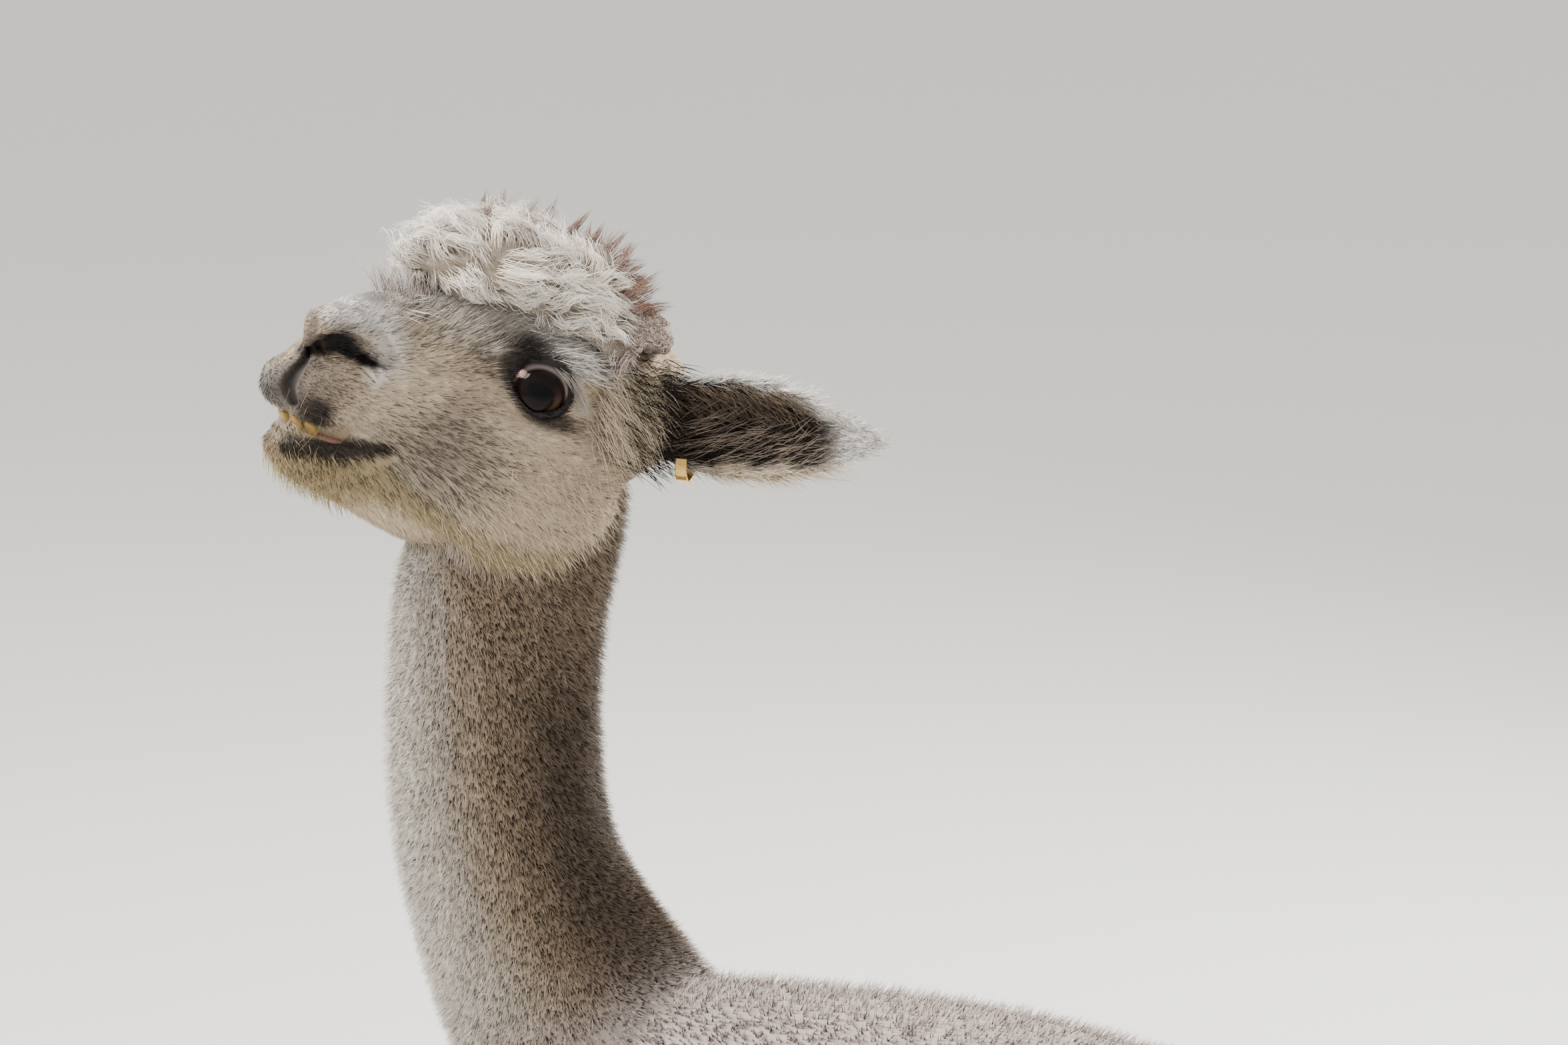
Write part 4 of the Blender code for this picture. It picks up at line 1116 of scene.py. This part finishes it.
def wool_guides(ground, dice):
    """Roots, spines and tones of the locks that the topknot's hairs gather to."""
    guides, normals = scattered(ground, WOOL_GUIDES, dice)
    count = len(guides)
    head = in_head(guides)
    combed = head + dice.normal(0, COMB_SPREAD, head.shape) * (0, 0, 1)
    ways = flattened(topknot_flow(combed) @ TURN.T, normals)
    turn = 0.50 * np.sin(head @ (100, 40, 80)) + 0.35 * np.sin(head @ (60, 120, -100) + 1.3)
    turn += dice.normal(0, 0.20, count)
    ways = ways * np.cos(turn)[:, None] + np.cross(normals, ways) * np.sin(turn)[:, None]
    tones, rear = topknot_tones(head)
    tones = tones * dice.normal(1, 0.065, (count, 1))
    inside = step(over_wool_edge(head), -0.004, 0.018)
    behind = 1 - step(head[:, 0], 0.0, 0.022)
    lengths = (0.033 - 0.018 * behind) * (0.45 + 0.55 * inside) * dice.uniform(0.75, 1.2, count)
    rise = (0.0115 - 0.0045 * rear) * (0.40 + 0.60 * inside) * dice.uniform(0.7, 1.25, count)
    return guides, lay_locks(ground, guides, ways, lengths, rise, 0.70 - 0.4 * rear, dice), tones


def topknot_wool(ground, finish):
    """Fine wool of the topknot: hairs that gather towards waving guides, with mauve fleece behind."""
    dice = np.random.default_rng(61)
    guides, spines, tones = wool_guides(ground, dice)
    roots, normals = scattered(ground, WOOL_HAIRS, dice)
    count = len(roots)
    own = nearest(guides, roots + dice.normal(0, 0.0012, roots.shape))
    share = np.linspace(0, 1, WOOL_RINGS + 1)
    paths = resampled(spines[own], dice.uniform(0.6, 1.05, count), WOOL_RINGS + 1)
    parting = 1 - step(np.abs(over_parting(in_head(roots))), 0.004, 0.016)
    # Stray hairs stand off, most of them at the parting; the others gather to their guide
    stray = dice.random(count) < 0.07 + 0.12 * parting
    gather = np.where(stray, -0.4, dice.uniform(0.45, 0.88, count))
    apart = roots - normals * LOCK_ROOT - spines[own, 0]
    paths += apart[:, None] * (1 - gather[:, None] * share ** 0.7)[..., None]
    sway = dice.normal(0, 0.0011, (count, 1, 3)) * np.sin(share * dice.uniform(2, 6, (count, 1)))[..., None]
    paths += sway + normals[:, None] * (np.where(stray, 0.005, 0.0)[:, None] * share)[..., None]
    widths = dice.uniform(0.7, 1.3, (count, 1)) * (0.15 + 0.85 * (1 - share) ** 0.5) * WOOL_WIDTH
    tone = tones[own] * dice.normal(1, 0.06, (count, 1))
    mix = (share ** 0.8)[None, :, None]
    # Painted shade at the roots and painted light at the tips
    colours = tone[:, None] * (np.array(WOOL_ROOT_SHADE) * (1 - mix) + 1.15 * mix)
    patches = unwrapped(roots, "topknot")
    size = count // WOOL_PIECES + 1
    for number in range(WOOL_PIECES):
        some = slice(number * size, (number + 1) * size)
        arrays = (values[some] for values in (normals, colours, patches))
        piece = strand_mesh(f"topknot_wool_{number}", paths[some], widths[some], WOOL_FLATNESS, *arrays)
        dressed(piece, finish)


def crown_spikes(ground, finish):
    """Small rust-brown points of wool that stand up along the top and the back of the crown."""
    dice = np.random.default_rng(23)
    roots, normals = scattered(ground, SPIKE_TRIES, dice)
    head = in_head(roots)
    rear = 1 - step(head[:, 0], 0.0, 0.012)
    near = path_distance(folded_over(head), SPIKE_LINE) < 0.007 + 0.005 * rear
    bunch = np.sin(head[:, 0] * 420) + np.sin(head[:, 0] * 170 + head[:, 1] * 200) > -0.1 - rear
    kept = near & bunch & (dice.random(len(head)) < 0.6 + 0.3 * rear)
    roots, normals, rear = roots[kept], normals[kept], rear[kept]
    count = len(roots)
    ways = unit(normals * 1.1 + TURN @ np.array((-0.35, 0.0, 0.35)) + dice.normal(0, 0.25, roots.shape))
    lengths = dice.uniform(0.021, 0.033, count)
    share = np.linspace(0, 1, LOCK_RINGS + 1)
    spines = roots[:, None] + ways[:, None] * (lengths[:, None] * share)[:, :, None]
    rust = coloured(RUST, count) * dice.normal(1, 0.15, (count, 1))
    rust = tinted(rust, MAUVE, np.where(dice.random(count) < 0.30 - 0.15 * rear, 0.7, 0.05))
    pale = tinted(rust, MAUVE, np.full(count, 0.5))
    thickness = dice.uniform(0.0026, 0.0042, count)[:, None]
    dressed(lock_mesh("crown_spikes", spines, normals, thickness, pale, rust, dice), finish)


def add_topknot(finish):
    """The solid wool, its hairs and its spikes."""
    core = wool_core()
    ground = Ground(core)
    paint(core, topknot_tones(in_head(ground.places))[0] * CORE_SHADE)
    dressed(core, skin_finish("deep_wool"))
    topknot_wool(ground, finish)
    crown_spikes(ground, finish)


# Long single hairs


HAIR_RINGS = 3


def hairs(name, region, roots, ways, bends, lengths, width, tones, dice):
    """Single hairs from their roots along their ways, which bend over on the way to the tip."""
    share = np.linspace(0, 1, HAIR_RINGS + 1)
    sway = dice.normal(0, 0.05, (len(roots), 1, 3)) * np.sin(share * 4.0)[None, :, None]
    course = ways[:, None] * share[None, :, None] + bends[:, None] * (share ** 2)[None, :, None] + sway
    paths = roots[:, None] + course * lengths[:, None, None]
    taper = (1 - share) ** 0.5 * 0.9 + 0.1
    widths = np.broadcast_to(width, len(roots))[:, None] * taper[None]
    # Painted shade at the root, paler towards the tip
    colours = tones[:, None] * (0.9 + 0.15 * share)[None, :, None]
    return strand_mesh(name, paths, widths, 0.8, unit(ways + 0.01), colours, unwrapped(roots, region))


def skin_roots(surface, weights, count, dice):
    """Roots on the skin, spread by the weights of its points."""
    total = (surface.areas * weights[surface.triangles].mean(axis=1)).sum()
    corners, shares = roots_on(surface, weights * count / total, dice)
    return at_roots(surface.places, corners, shares), unit(at_roots(surface.normals, corners, shares))


def sow(surface, name, region, weights, kind, axes, habit, finish, dice):
    """One patch of single hairs, whose ways and bends are shares of the axes."""
    count, way, bend, lengths, width, colour = kind
    spread, stand, shades = habit
    roots, normals = skin_roots(surface, weights, count, dice)
    ways = unit(np.array(way) @ axes + dice.normal(0, spread, roots.shape)) + normals * stand
    bends = np.tile(np.array(bend) @ axes, (len(roots), 1))
    tones = coloured(colour, len(roots)) * dice.uniform(*shades, (len(roots), 1))
    reaches = dice.uniform(*lengths, len(roots))
    piece = hairs(name, region, roots, ways, bends, reaches, width, tones, dice)
    dressed(piece, finish)


# How a patch's hairs spread, how far they stand off the skin, and how much their tone varies
EAR_HABIT = (0.16, 0.12, (0.7, 1.15))
FACE_HABIT = (0.24, 0.10, (0.75, 1.1))


def ear_hairs(surface, finish):
    """Long pale hairs across the cup, fringes along the rims, and a dark tuft at the base."""
    dice = np.random.default_rng(31)
    head = in_head(surface.places)
    along, across, cup = ear_places(head, surface.normals)
    ear = surface.weight("ears")
    low_rim = step(past_lower_rim(along, across), -0.10, 0.05)
    kinds = (
        # where; count, shares of the ear's way, up and mouth, the same of the bend, lengths, width, colour
        (ear * cup * band(across, -0.75, -0.15) * band(along, 0.10, 0.70),
         (300, (0.80, 0.34, 0.35), (0.1, 0.0, -0.25), (0.020, 0.036), 0.00050, (0.30, 0.235, 0.19))),
        (ear * cup * band(across, 0.30, 0.80) * band(along, 0.02, 0.60),
         (420, (0.45, -0.30, 0.35), (0.3, 0.0, -0.2), (0.012, 0.020), 0.0006, TAUPE)),
        (ear * low_rim * band(along, 0.12, 0.90),
         (460, (0.80, -0.28, 0.0), (0.2, 0.0, 0.0), (0.010, 0.020), 0.0006, CREAM)),
        (ear * step(across, 0.55, 0.85) * band(along, 0.05, 0.95),
         (700, (0.85, 0.40, 0.0), (0.1, -0.1, 0.0), (0.010, 0.018), 0.0006, WHITE)),
        (ear * step(along, 0.72, 0.90),
         (420, (0.95, 0.0, 0.12), (0.0, 0.0, 0.0), (0.010, 0.016), 0.0006, WHITE)),
        (band(along, -0.05, 0.12) * band(across, -0.9, 0.8) * (0.2 + cup),
         (520, (0.85, -0.15, 0.30), (0.0, -0.2, 0.0), (0.014, 0.026), 0.0007, SOOT)),
    )
    for number, (where, kind) in enumerate(kinds):
        for side, label in SIDES:
            axis, mouth, up = ear_frame(side)[1:]
            axes = np.stack((axis, up, mouth)) @ TURN.T
            weights = where * (head[:, 1] * side > 0)
            sow(surface, f"ear_hairs_{label}_{number}", "ears", weights, kind, axes, EAR_HABIT, finish, dice)


def face_hairs(surface, finish):
    """The long pale hairs round the topknot's edge, before the ear, on the jaw and the chin, and whiskers."""
    dice = np.random.default_rng(47)
    head = in_head(surface.places)
    folded = folded_over(head)
    near = surface.weight("head")
    brow = band(over_wool_edge(folded), -0.014, 0.004) * band(folded[:, 0], 0.012, 0.120)
    kinds = (
        # name; where; count, way on the left side, bend, lengths, width, colour
        ("temple", spot_mask(folded, (-0.018, 0.058, 0.048), (0.020, 0.020, 0.030), 0.4),
         (700, (-0.62, 0.35, -0.45), (-0.15, -0.1, -0.35), (0.016, 0.028), 0.0006, CREAM)),
        ("brow", brow,
         (750, (-0.85, 0.12, 0.12), (-0.1, 0.0, -0.10), (0.014, 0.024), 0.0006, WHITE)),
        ("fringe", spot_mask(folded, (0.126, 0.010, 0.066), (0.018, 0.026, 0.010), 0.4),
         (110, (0.35, 0.05, 0.70), (0.15, 0.0, 0.15), (0.010, 0.024), 0.0005, MAUVE)),
        ("jaw", spot_mask(folded, (0.010, 0.048, -0.050), (0.060, 0.040, 0.045), 0.4),
         (800, (-0.70, 0.14, -0.50), (-0.1, -0.2, -0.2), (0.009, 0.015), 0.0006, CREAM)),
        ("chin", spot_mask(folded, (0.155, 0.015, -0.062), (0.035, 0.035, 0.018), 0.5),
         (260, (-0.30, 0.20, -0.85), (-0.3, 0.0, 0.0), (0.008, 0.015), 0.0005, TAN)),
        ("whiskers", spot_mask(folded, (0.165, 0.025, -0.040), (0.035, 0.020, 0.030), 0.5),
         (44, (0.35, 0.75, -0.55), (-0.1, 0.0, -0.25), (0.012, 0.024), 0.00025, BEIGE)),
    )
    for name, where, kind in kinds:
        for side, label in SIDES:
            weights = where * near * (head[:, 1] * side > 0)
            axes = np.diag((1, side, 1)) @ TURN.T
            sow(surface, f"{name}_{label}", "head", weights, kind, axes, FACE_HABIT, finish, dice)


def tail_hairs(surface, finish):
    """Loose wool that hangs down the tail."""
    dice = np.random.default_rng(17)
    roots, normals = skin_roots(surface, surface.weight("tail"), 1500, dice)
    count = len(roots)
    ways = unit(np.array((-0.30, 0.0, -1.0)) + normals * 0.35 + dice.normal(0, 0.15, roots.shape))
    tones = coloured(MAUVE, count) * dice.uniform(0.8, 1.15, (count, 1))
    bends = dice.normal(0, 0.10, roots.shape) - normals * 0.25
    lengths = dice.uniform(0.030, 0.048, count)
    piece = hairs("tail_hairs", "tail", roots, ways, bends, lengths, 0.0016, tones, dice)
    dressed(piece, finish)


# Degrees round the lids from which and to which the lashes root, and how many there are
UPPER_LASHES = (85, 178, 120)
LOWER_LASHES = (195, 345, 60)
LASH_OUTSET = 0.002  # how far outside the lids' opening they root
LASH_WIDTH = 0.00045
PALE_LASH = (0.46, 0.41, 0.37)


def lashes(finish):
    """Pale upper lashes that sweep down and back, and short dark lower ones."""
    dice = np.random.default_rng(53)
    for side, label in SIDES:
        along, up, gaze = (np.array(axis) for axis in eye_axes(side))
        ring = np.array(lid_ring(side, (LID_OPENING[0] + LASH_OUTSET, LID_OPENING[1] + LASH_OUTSET), 360))
        upper = dice.integers(*UPPER_LASHES)
        lower = dice.integers(*LOWER_LASHES)
        spots = ring[np.concatenate((upper, lower))]
        count = len(spots)
        raised = np.concatenate((np.ones(len(upper)), np.zeros(len(lower))))[:, None]
        high = gaze * 0.45 - along * 0.80 - up * 0.10
        low = gaze * 0.5 - up * 0.6 - along * 0.3
        ways = unit(low + raised * (high - low) + dice.normal(0, 0.10, (count, 3)))
        bends = raised * -up * 0.45 - along * 0.2
        long, short = dice.uniform(0.010, 0.020, count), dice.uniform(0.004, 0.008, count)
        lengths = np.where(raised[:, 0] > 0, long, short)
        tones = np.array(UMBER) + raised * (np.array(PALE_LASH) - UMBER)
        tones = tones * dice.uniform(0.6, 1.1, (count, 1))
        turned = (from_head(spots), ways @ TURN.T, bends @ TURN.T)
        piece = hairs(f"lashes_{label}", "head", *turned, lengths, LASH_WIDTH, tones, dice)
        dressed(piece, finish)


# Eyes, teeth, nails and tag


IRIS_TURN = (-0.04, -0.34)  # how far the iris looks back and down from the opening's middle
IRIS_RADIUS = 0.0174
PUPIL = (0.0095, 0.0050)
PUPIL_RISE = 0.0045  # of the pupil over the iris's middle
CORNEA = 0.0016
SCLERA = (0.40, 0.33, 0.32)
LIMBUS = (0.020, 0.011, 0.009)
LIMBUS_EDGE = (0.0162, 0.0178)
IRIS = (0.006, 0.0035, 0.003)
IRIS_EDGE = (0.0140, 0.0162)
# The amber of the iris's lit side: painted light
AMBER = (0.045, 0.020, 0.013)
AMBER_RING = (0.0105, 0.0140)
PUPIL_BLACK = (0.002, 0.002, 0.003)
# Balls in the front corner of an eye: how far forward, up and out, and their radius
CARUNCLE = ((0.0170, 0.0012, 0.0112, 0.0034), (0.0145, 0.0026, 0.0140, 0.0032))
# Voxel and smoothing passes of the small pieces
CARUNCLE_GRAIN = (0.0006, 4)
GUM_GRAIN = (0.0012, 4)
TAG_GRAIN = (0.0004, 2)
NAIL_GRAIN = (0.0016, 3)
TEETH = 6
TOOTH_FAN = 62  # degrees from the middle of the jaw to the last tooth
TOOTH_ARC = (0.1505, 0.0225, 0.0215)  # middle of the lower teeth's arc, its reach forward and aside
TOOTH_SIZE = (0.0024, 0.0037, 0.0066)
TOOTH_LEVEL = -0.0328
TOOTH_LEAN = 52  # degrees forward
TOOTH_SWAY = 8  # degrees by which the teeth's lean differs
GUM_SPOTS = 11
GUM_FAN = 100
GUM_SETBACK = 0.006
GUM_DROP = 0.0045
GUM_RADIUS = 0.0034
TAG_BACK = 0.006  # how much nearer to the ear's root the tag hangs than its solid
TAG_DROP = 0.0025
TAG_GROWTH = 1.5


def eye(side, label):
    """A smooth ball with a bulged cornea, painted in rings round the iris."""
    along, up, gaze = eye_axes(side)
    look = (gaze + along * IRIS_TURN[0] + up * IRIS_TURN[1]).normalized()
    right = (along - look * along.dot(look)).normalized()
    top = look.cross(right) * -side
    bm = bmesh.new()
    bmesh.ops.create_uvsphere(bm, u_segments=96, v_segments=80, radius=EYE_RADIUS)
    turn = Matrix((right, top, look)).transposed()
    middle = mirrored(EYE_PLACE, side)
    layer = bm.verts.layers.float_color.new("Paint")
    for vert in bm.verts:
        flat = vert.co.xy.length
        if vert.co.z > 0 and flat < IRIS_RADIUS:
            vert.co.z += CORNEA * (1 - (flat / IRIS_RADIUS) ** 2)
        vert[layer] = (*eye_paint(vert.co), 1)
        vert.co = HEAD @ (middle + turn @ vert.co)
    bmesh.ops.recalc_face_normals(bm, faces=bm.faces)
    made = as_object(f"eye_{label}_ball", bm)
    made.data.shade_smooth()
    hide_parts(f"eye_{label}")
    return made


def eye_paint(place):
    """The eye's colour at a place of its own frame, whose Z looks out and whose X points forward."""
    flat = place.xy.length
    ahead = np.array((flat if place.z > 0 else 1.0,))
    colours = np.array((SCLERA,))
    colours = tinted(colours, LIMBUS, 1 - step(ahead, *LIMBUS_EDGE))
    colours = tinted(colours, IRIS, 1 - step(ahead, *IRIS_EDGE))
    # Painted light: the iris turns amber only on its lower rear side, across from the catchlight
    lit_side = max(0.0, -place.x * 0.9 - place.y * 0.5) / IRIS_RADIUS
    colours = tinted(colours, AMBER, band(np.array((flat,)), *AMBER_RING) * min(1.0, lit_side * 1.4))
    pupil = np.array((((place.x / PUPIL[0]) ** 2 + ((place.y - PUPIL_RISE) / PUPIL[1]) ** 2) ** 0.5,))
    if place.z > 0:
        colours = tinted(colours, PUPIL_BLACK, 1 - step(pupil, 0.85, 1.1))
    return colours[0]


def fan(half, count):
    """Angles in even steps from one side of the jaw to the other."""
    return [radians(-half + 2 * half * k / (count - 1)) for k in range(count)]


def on_jaw(angle, setback, level):
    """A place on the arc of the lower teeth, set back from it, in the head's frame."""
    return Vector((TOOTH_ARC[0] - setback + TOOTH_ARC[1] * cos(angle), TOOTH_ARC[2] * sin(angle), level))


def smooth(obj):
    obj.data.shade_smooth()
    return obj


def teeth():
    """Six lower incisors that lean forward out of the gum."""
    bm = bmesh.new()
    scale = Matrix.Diagonal((*TOOTH_SIZE, 1))
    for number, angle in enumerate(fan(TOOTH_FAN, TEETH)):
        own = bmesh.new()
        bmesh.ops.create_cube(own, size=2.0)
        bmesh.ops.bevel(
            own, geom=own.edges[:], offset=0.7, segments=4, profile=0.5, affect="EDGES", material=-1)
        forward = radians(TOOTH_LEAN + TOOTH_SWAY * cos(number * 2.1))
        lean = Matrix.Rotation(angle * 0.5, 4, "Z") @ Matrix.Rotation(forward, 4, "Y")
        place = Matrix.Translation(on_jaw(angle, 0, TOOTH_LEVEL))
        bmesh.ops.transform(own, matrix=HEAD @ place @ lean @ scale, verts=own.verts)
        add_mesh_of(bm, own)
    return smooth(as_object("teeth", bm))


def gum():
    """The pink gum along the lower lip."""
    bm = bmesh.new()
    spots = [on_jaw(angle, GUM_SETBACK, TOOTH_LEVEL - GUM_DROP) for angle in fan(GUM_FAN, GUM_SPOTS)]
    beads(bm, spots, [GUM_RADIUS] * GUM_SPOTS)
    return smooth(remeshed(as_object("gum", bm), *GUM_GRAIN))


def caruncle(side, label):
    """The pink flesh in the front corner of an eye."""
    along, up, gaze = eye_axes(side)
    bm = bmesh.new()
    for forward, high, out, radius in CARUNCLE:
        centre = mirrored(EYE_PLACE, side) + along * forward + up * high + gaze * out
        ball(bm, HEAD @ centre, (radius,) * 3)
    return smooth(remeshed(as_object(f"caruncle_{label}", bm), *CARUNCLE_GRAIN))


def smoothed_copy(name, node, grain):
    """A finer rounding of a node, which it replaces."""
    bm = bmesh.new()
    add_solid(bm, node)
    made = smooth(remeshed(as_object(name, bm), *grain))
    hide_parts(node)
    return made


def add_tag():
    """The ear tag, grown and lowered so that it shows under the ear's hair."""
    brass = plain_finish("brass", Metallic=1.0)
    tag = dressed(smoothed_copy("tag", "ear_tag", TAG_GRAIN), brass)
    way, _, up = (Vector(TURN @ axis) for axis in ear_frame(1)[1:])
    middle = middle_of("ear_tag")
    grown = Matrix.Translation(middle - way * TAG_BACK - up * TAG_DROP) @ Matrix.Scale(TAG_GROWTH, 4)
    tag.data.transform(grown @ Matrix.Translation(-middle))


def add_eyes():
    wet = eye_finish()
    for side, label in SIDES:
        dressed(eye(side, label), wet)
    flesh = plain_finish("flesh")
    for side, label in SIDES:
        dressed(caruncle(side, label), flesh)


def add_mouth():
    dressed(teeth(), plain_finish("tooth"))
    dressed(gum(), plain_finish("gum"))


def add_nails():
    horn = plain_finish("horn")
    for node in NAILS:
        dressed(smoothed_copy(f"horn_{node}", node, NAIL_GRAIN), horn)


# Finishes


# Those of one colour: that colour, its roughness, and the scale and depth of its grain
PLAIN = {
    "brass": ((0.62, 0.40, 0.13), 0.28, 700.0, 0.0002),
    "flesh": ((0.50, 0.31, 0.28), 0.3, 400.0, 0.0003),
    "tooth": ((0.36, 0.23, 0.055), 0.35, 500.0, 0.0004),
    "gum": ((0.28, 0.14, 0.11), 0.35, 400.0, 0.0006),
    "horn": ((0.055, 0.042, 0.034), 0.45, 160.0, 0.0008),
}


class Signal:
    """One output of a finish's nodes; Python's operators on it add the Math nodes."""

    def __init__(self, finish, socket):
        self.finish = finish
        self.socket = socket

    def maths(self, operation, first, second):
        return self.finish.node("ShaderNodeMath", {"operation": operation}, {0: first, 1: second})

    def __add__(self, other):
        return self.maths("ADD", self, other)

    __radd__ = __add__

    def __mul__(self, other):
        return self.maths("MULTIPLY", self, other)

    __rmul__ = __mul__


class Finish:
    """A material of one Principled shader, with its fixed values set on the shader's own sockets."""

    def __init__(self, name, **fixed):
        self.material = bpy.data.materials.new(name)
        self.material.use_nodes = True
        self.tree = self.material.node_tree
        self.shader = self.tree.nodes["Principled BSDF"]
        for socket, value in fixed.items():
            self.shader.inputs[socket.replace("_", " ")].default_value = value

    def node(self, kind, settings, inputs, output=0):
        made = self.tree.nodes.new(kind)
        for name, value in settings.items():
            setattr(made, name, value)
        for name, value in inputs.items():
            self.feed(made.inputs[name], value)
        return Signal(self, made.outputs[output])

    def feed(self, socket, value):
        if isinstance(value, Signal):
            self.tree.links.new(value.socket, socket)
        else:
            socket.default_value = value

    def give(self, socket, value):
        self.feed(self.shader.inputs[socket], value)

    def painted(self, layer):
        """The colour that is painted on the piece's own points."""
        return self.node("ShaderNodeAttribute", {"attribute_name": layer}, {}, "Color")

    def noise(self, scale, detail):
        where = self.node("ShaderNodeTexCoord", {}, {}, "Object")
        return self.node("ShaderNodeTexNoise", {}, {"Vector": where, "Scale": scale, "Detail": detail})

    def bump(self, height, strength, distance):
        return self.node("ShaderNodeBump", {}, {"Height": height, "Strength": strength, "Distance": distance})

    def scaled_colour(self, colour, factor):
        return self.node("ShaderNodeVectorMath", {"operation": "SCALE"}, {0: colour, "Scale": factor})


def coat_finish():
    finish = Finish("coat", Roughness=0.85, Specular_IOR_Level=0.15)
    shade = 0.86 + finish.noise(90.0, 3.0) * 0.28
    finish.give("Base Color", finish.scaled_colour(finish.painted("Coat"), shade))
    return finish.material


def skin_finish(name):
    finish = Finish(name, Roughness=0.8)
    grain = finish.noise(420.0, 4.0)
    finish.give("Base Color", finish.scaled_colour(finish.painted("Coat"), 0.70 + grain * 0.4))
    finish.give("Normal", finish.bump(grain, 0.5, 0.002))
    return finish.material


def eye_finish():
    finish = Finish("wet_eye", Roughness=0.10, Specular_IOR_Level=0.03, Coat_Weight=0.14, Coat_Roughness=0.01)
    finish.give("Base Color", finish.painted("Paint"))
    return finish.material


def plain_finish(name, **fixed):
    """One colour with a fine grain in its tone and height."""
    colour, roughness, grain, depth = PLAIN[name]
    finish = Finish(name, Roughness=roughness, **fixed)
    noise = finish.noise(grain, 4.0)
    finish.give("Base Color", finish.scaled_colour(colour, 0.7 + noise * 0.6))
    finish.give("Normal", finish.bump(noise, 0.6, depth))
    return finish.material


def dressed(obj, material):
    obj.data.materials.clear()
    obj.data.materials.append(material)
    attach(obj, "root")
    return obj


# Stage, light and camera


# Each light: where it stands from a point below the head, its size, power and colour
LIGHTS = {
    "key": ((1.7, 1.1, 2.5), 1.7, 250, (1.0, 0.96, 0.90)),
    "back": ((-0.7, -2.8, 1.5), 1.6, 190, (1.0, 0.98, 0.93)),
}
LIGHT_AIM = Vector((0, 0, -0.2))
SKY = (0.98, 0.96, 0.92, 1)
SKY_STRENGTH = 1.15
FLOOR = (0.82, 0.82, 0.79, 1)


def add_stage():
    bm = bmesh.new()
    bmesh.ops.create_grid(bm, x_segments=1, y_segments=1, size=30.0)
    floor = as_object("floor", bm)
    finish = Finish("plain_floor", Roughness=0.9)
    finish.give("Base Color", FLOOR)
    floor.data.materials.append(finish.material)


def add_lights():
    aim = HEAD.translation + LIGHT_AIM
    for name, (place, size, power, colour) in LIGHTS.items():
        lamp = bpy.data.lights.new(name, "AREA")
        lamp.shape = "DISK"
        lamp.size = size
        lamp.energy = power
        lamp.color = colour
        obj = bpy.data.objects.new(name, lamp)
        bpy.context.scene.collection.objects.link(obj)
        spot = aim + Vector(place)
        turn = (aim - spot).to_track_quat("-Z", "Y").to_matrix()
        obj.matrix_world = Matrix.Translation(spot) @ turn.to_4x4()
    world = bpy.data.worlds.new("sky")
    world.use_nodes = True
    background = world.node_tree.nodes["Background"]
    background.inputs["Color"].default_value = SKY
    background.inputs["Strength"].default_value = SKY_STRENGTH
    bpy.context.scene.world = world


def add_camera():
    away = Vector((sin(CAMERA_BEARING), -cos(CAMERA_BEARING), 0))
    right = Vector((-cos(CAMERA_BEARING), -sin(CAMERA_BEARING), 0))
    look = away * cos(CAMERA_PITCH) - Vector((0, 0, sin(CAMERA_PITCH)))
    top = right.cross(look)
    lens = bpy.data.cameras.new("camera")
    lens.lens = CAMERA_LENS
    lens.sensor_width = 36
    camera = bpy.data.objects.new("camera", lens)
    bpy.context.scene.collection.objects.link(camera)
    turn = Matrix((right, top, -look)).transposed().to_4x4()
    camera.matrix_world = Matrix.Translation(HEAD.translation + AIM_FROM_HEAD - look * CAMERA_DISTANCE) @ turn
    bpy.context.scene.camera = camera


def main():
    add_camera()
    add_stage()
    add_lights()
    skin = build_skin()
    surface = Surface(skin)
    surface.shift(-surface.normals * surface.mixed(DEPTH)[:, None])
    carve(surface)
    surface.colours, surface.flecks = markings(surface)
    surface.lie = lie_of_coat(surface)
    coat_measures(surface)
    paint(skin, surface.colours * (1 - surface.flecks * 0.6)[:, None])
    skin.data.shade_smooth()
    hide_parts(*[node for nodes in FLESH.values() for node in nodes])
    dressed(skin, skin_finish("under_coat"))
    coat = coat_finish()
    add_topknot(coat)
    ear_hairs(surface, coat)
    face_hairs(surface, coat)
    tail_hairs(surface, coat)
    lashes(coat)
    add_tag()
    add_eyes()
    add_mouth()
    add_nails()
    grow_coat(surface, coat)


main()
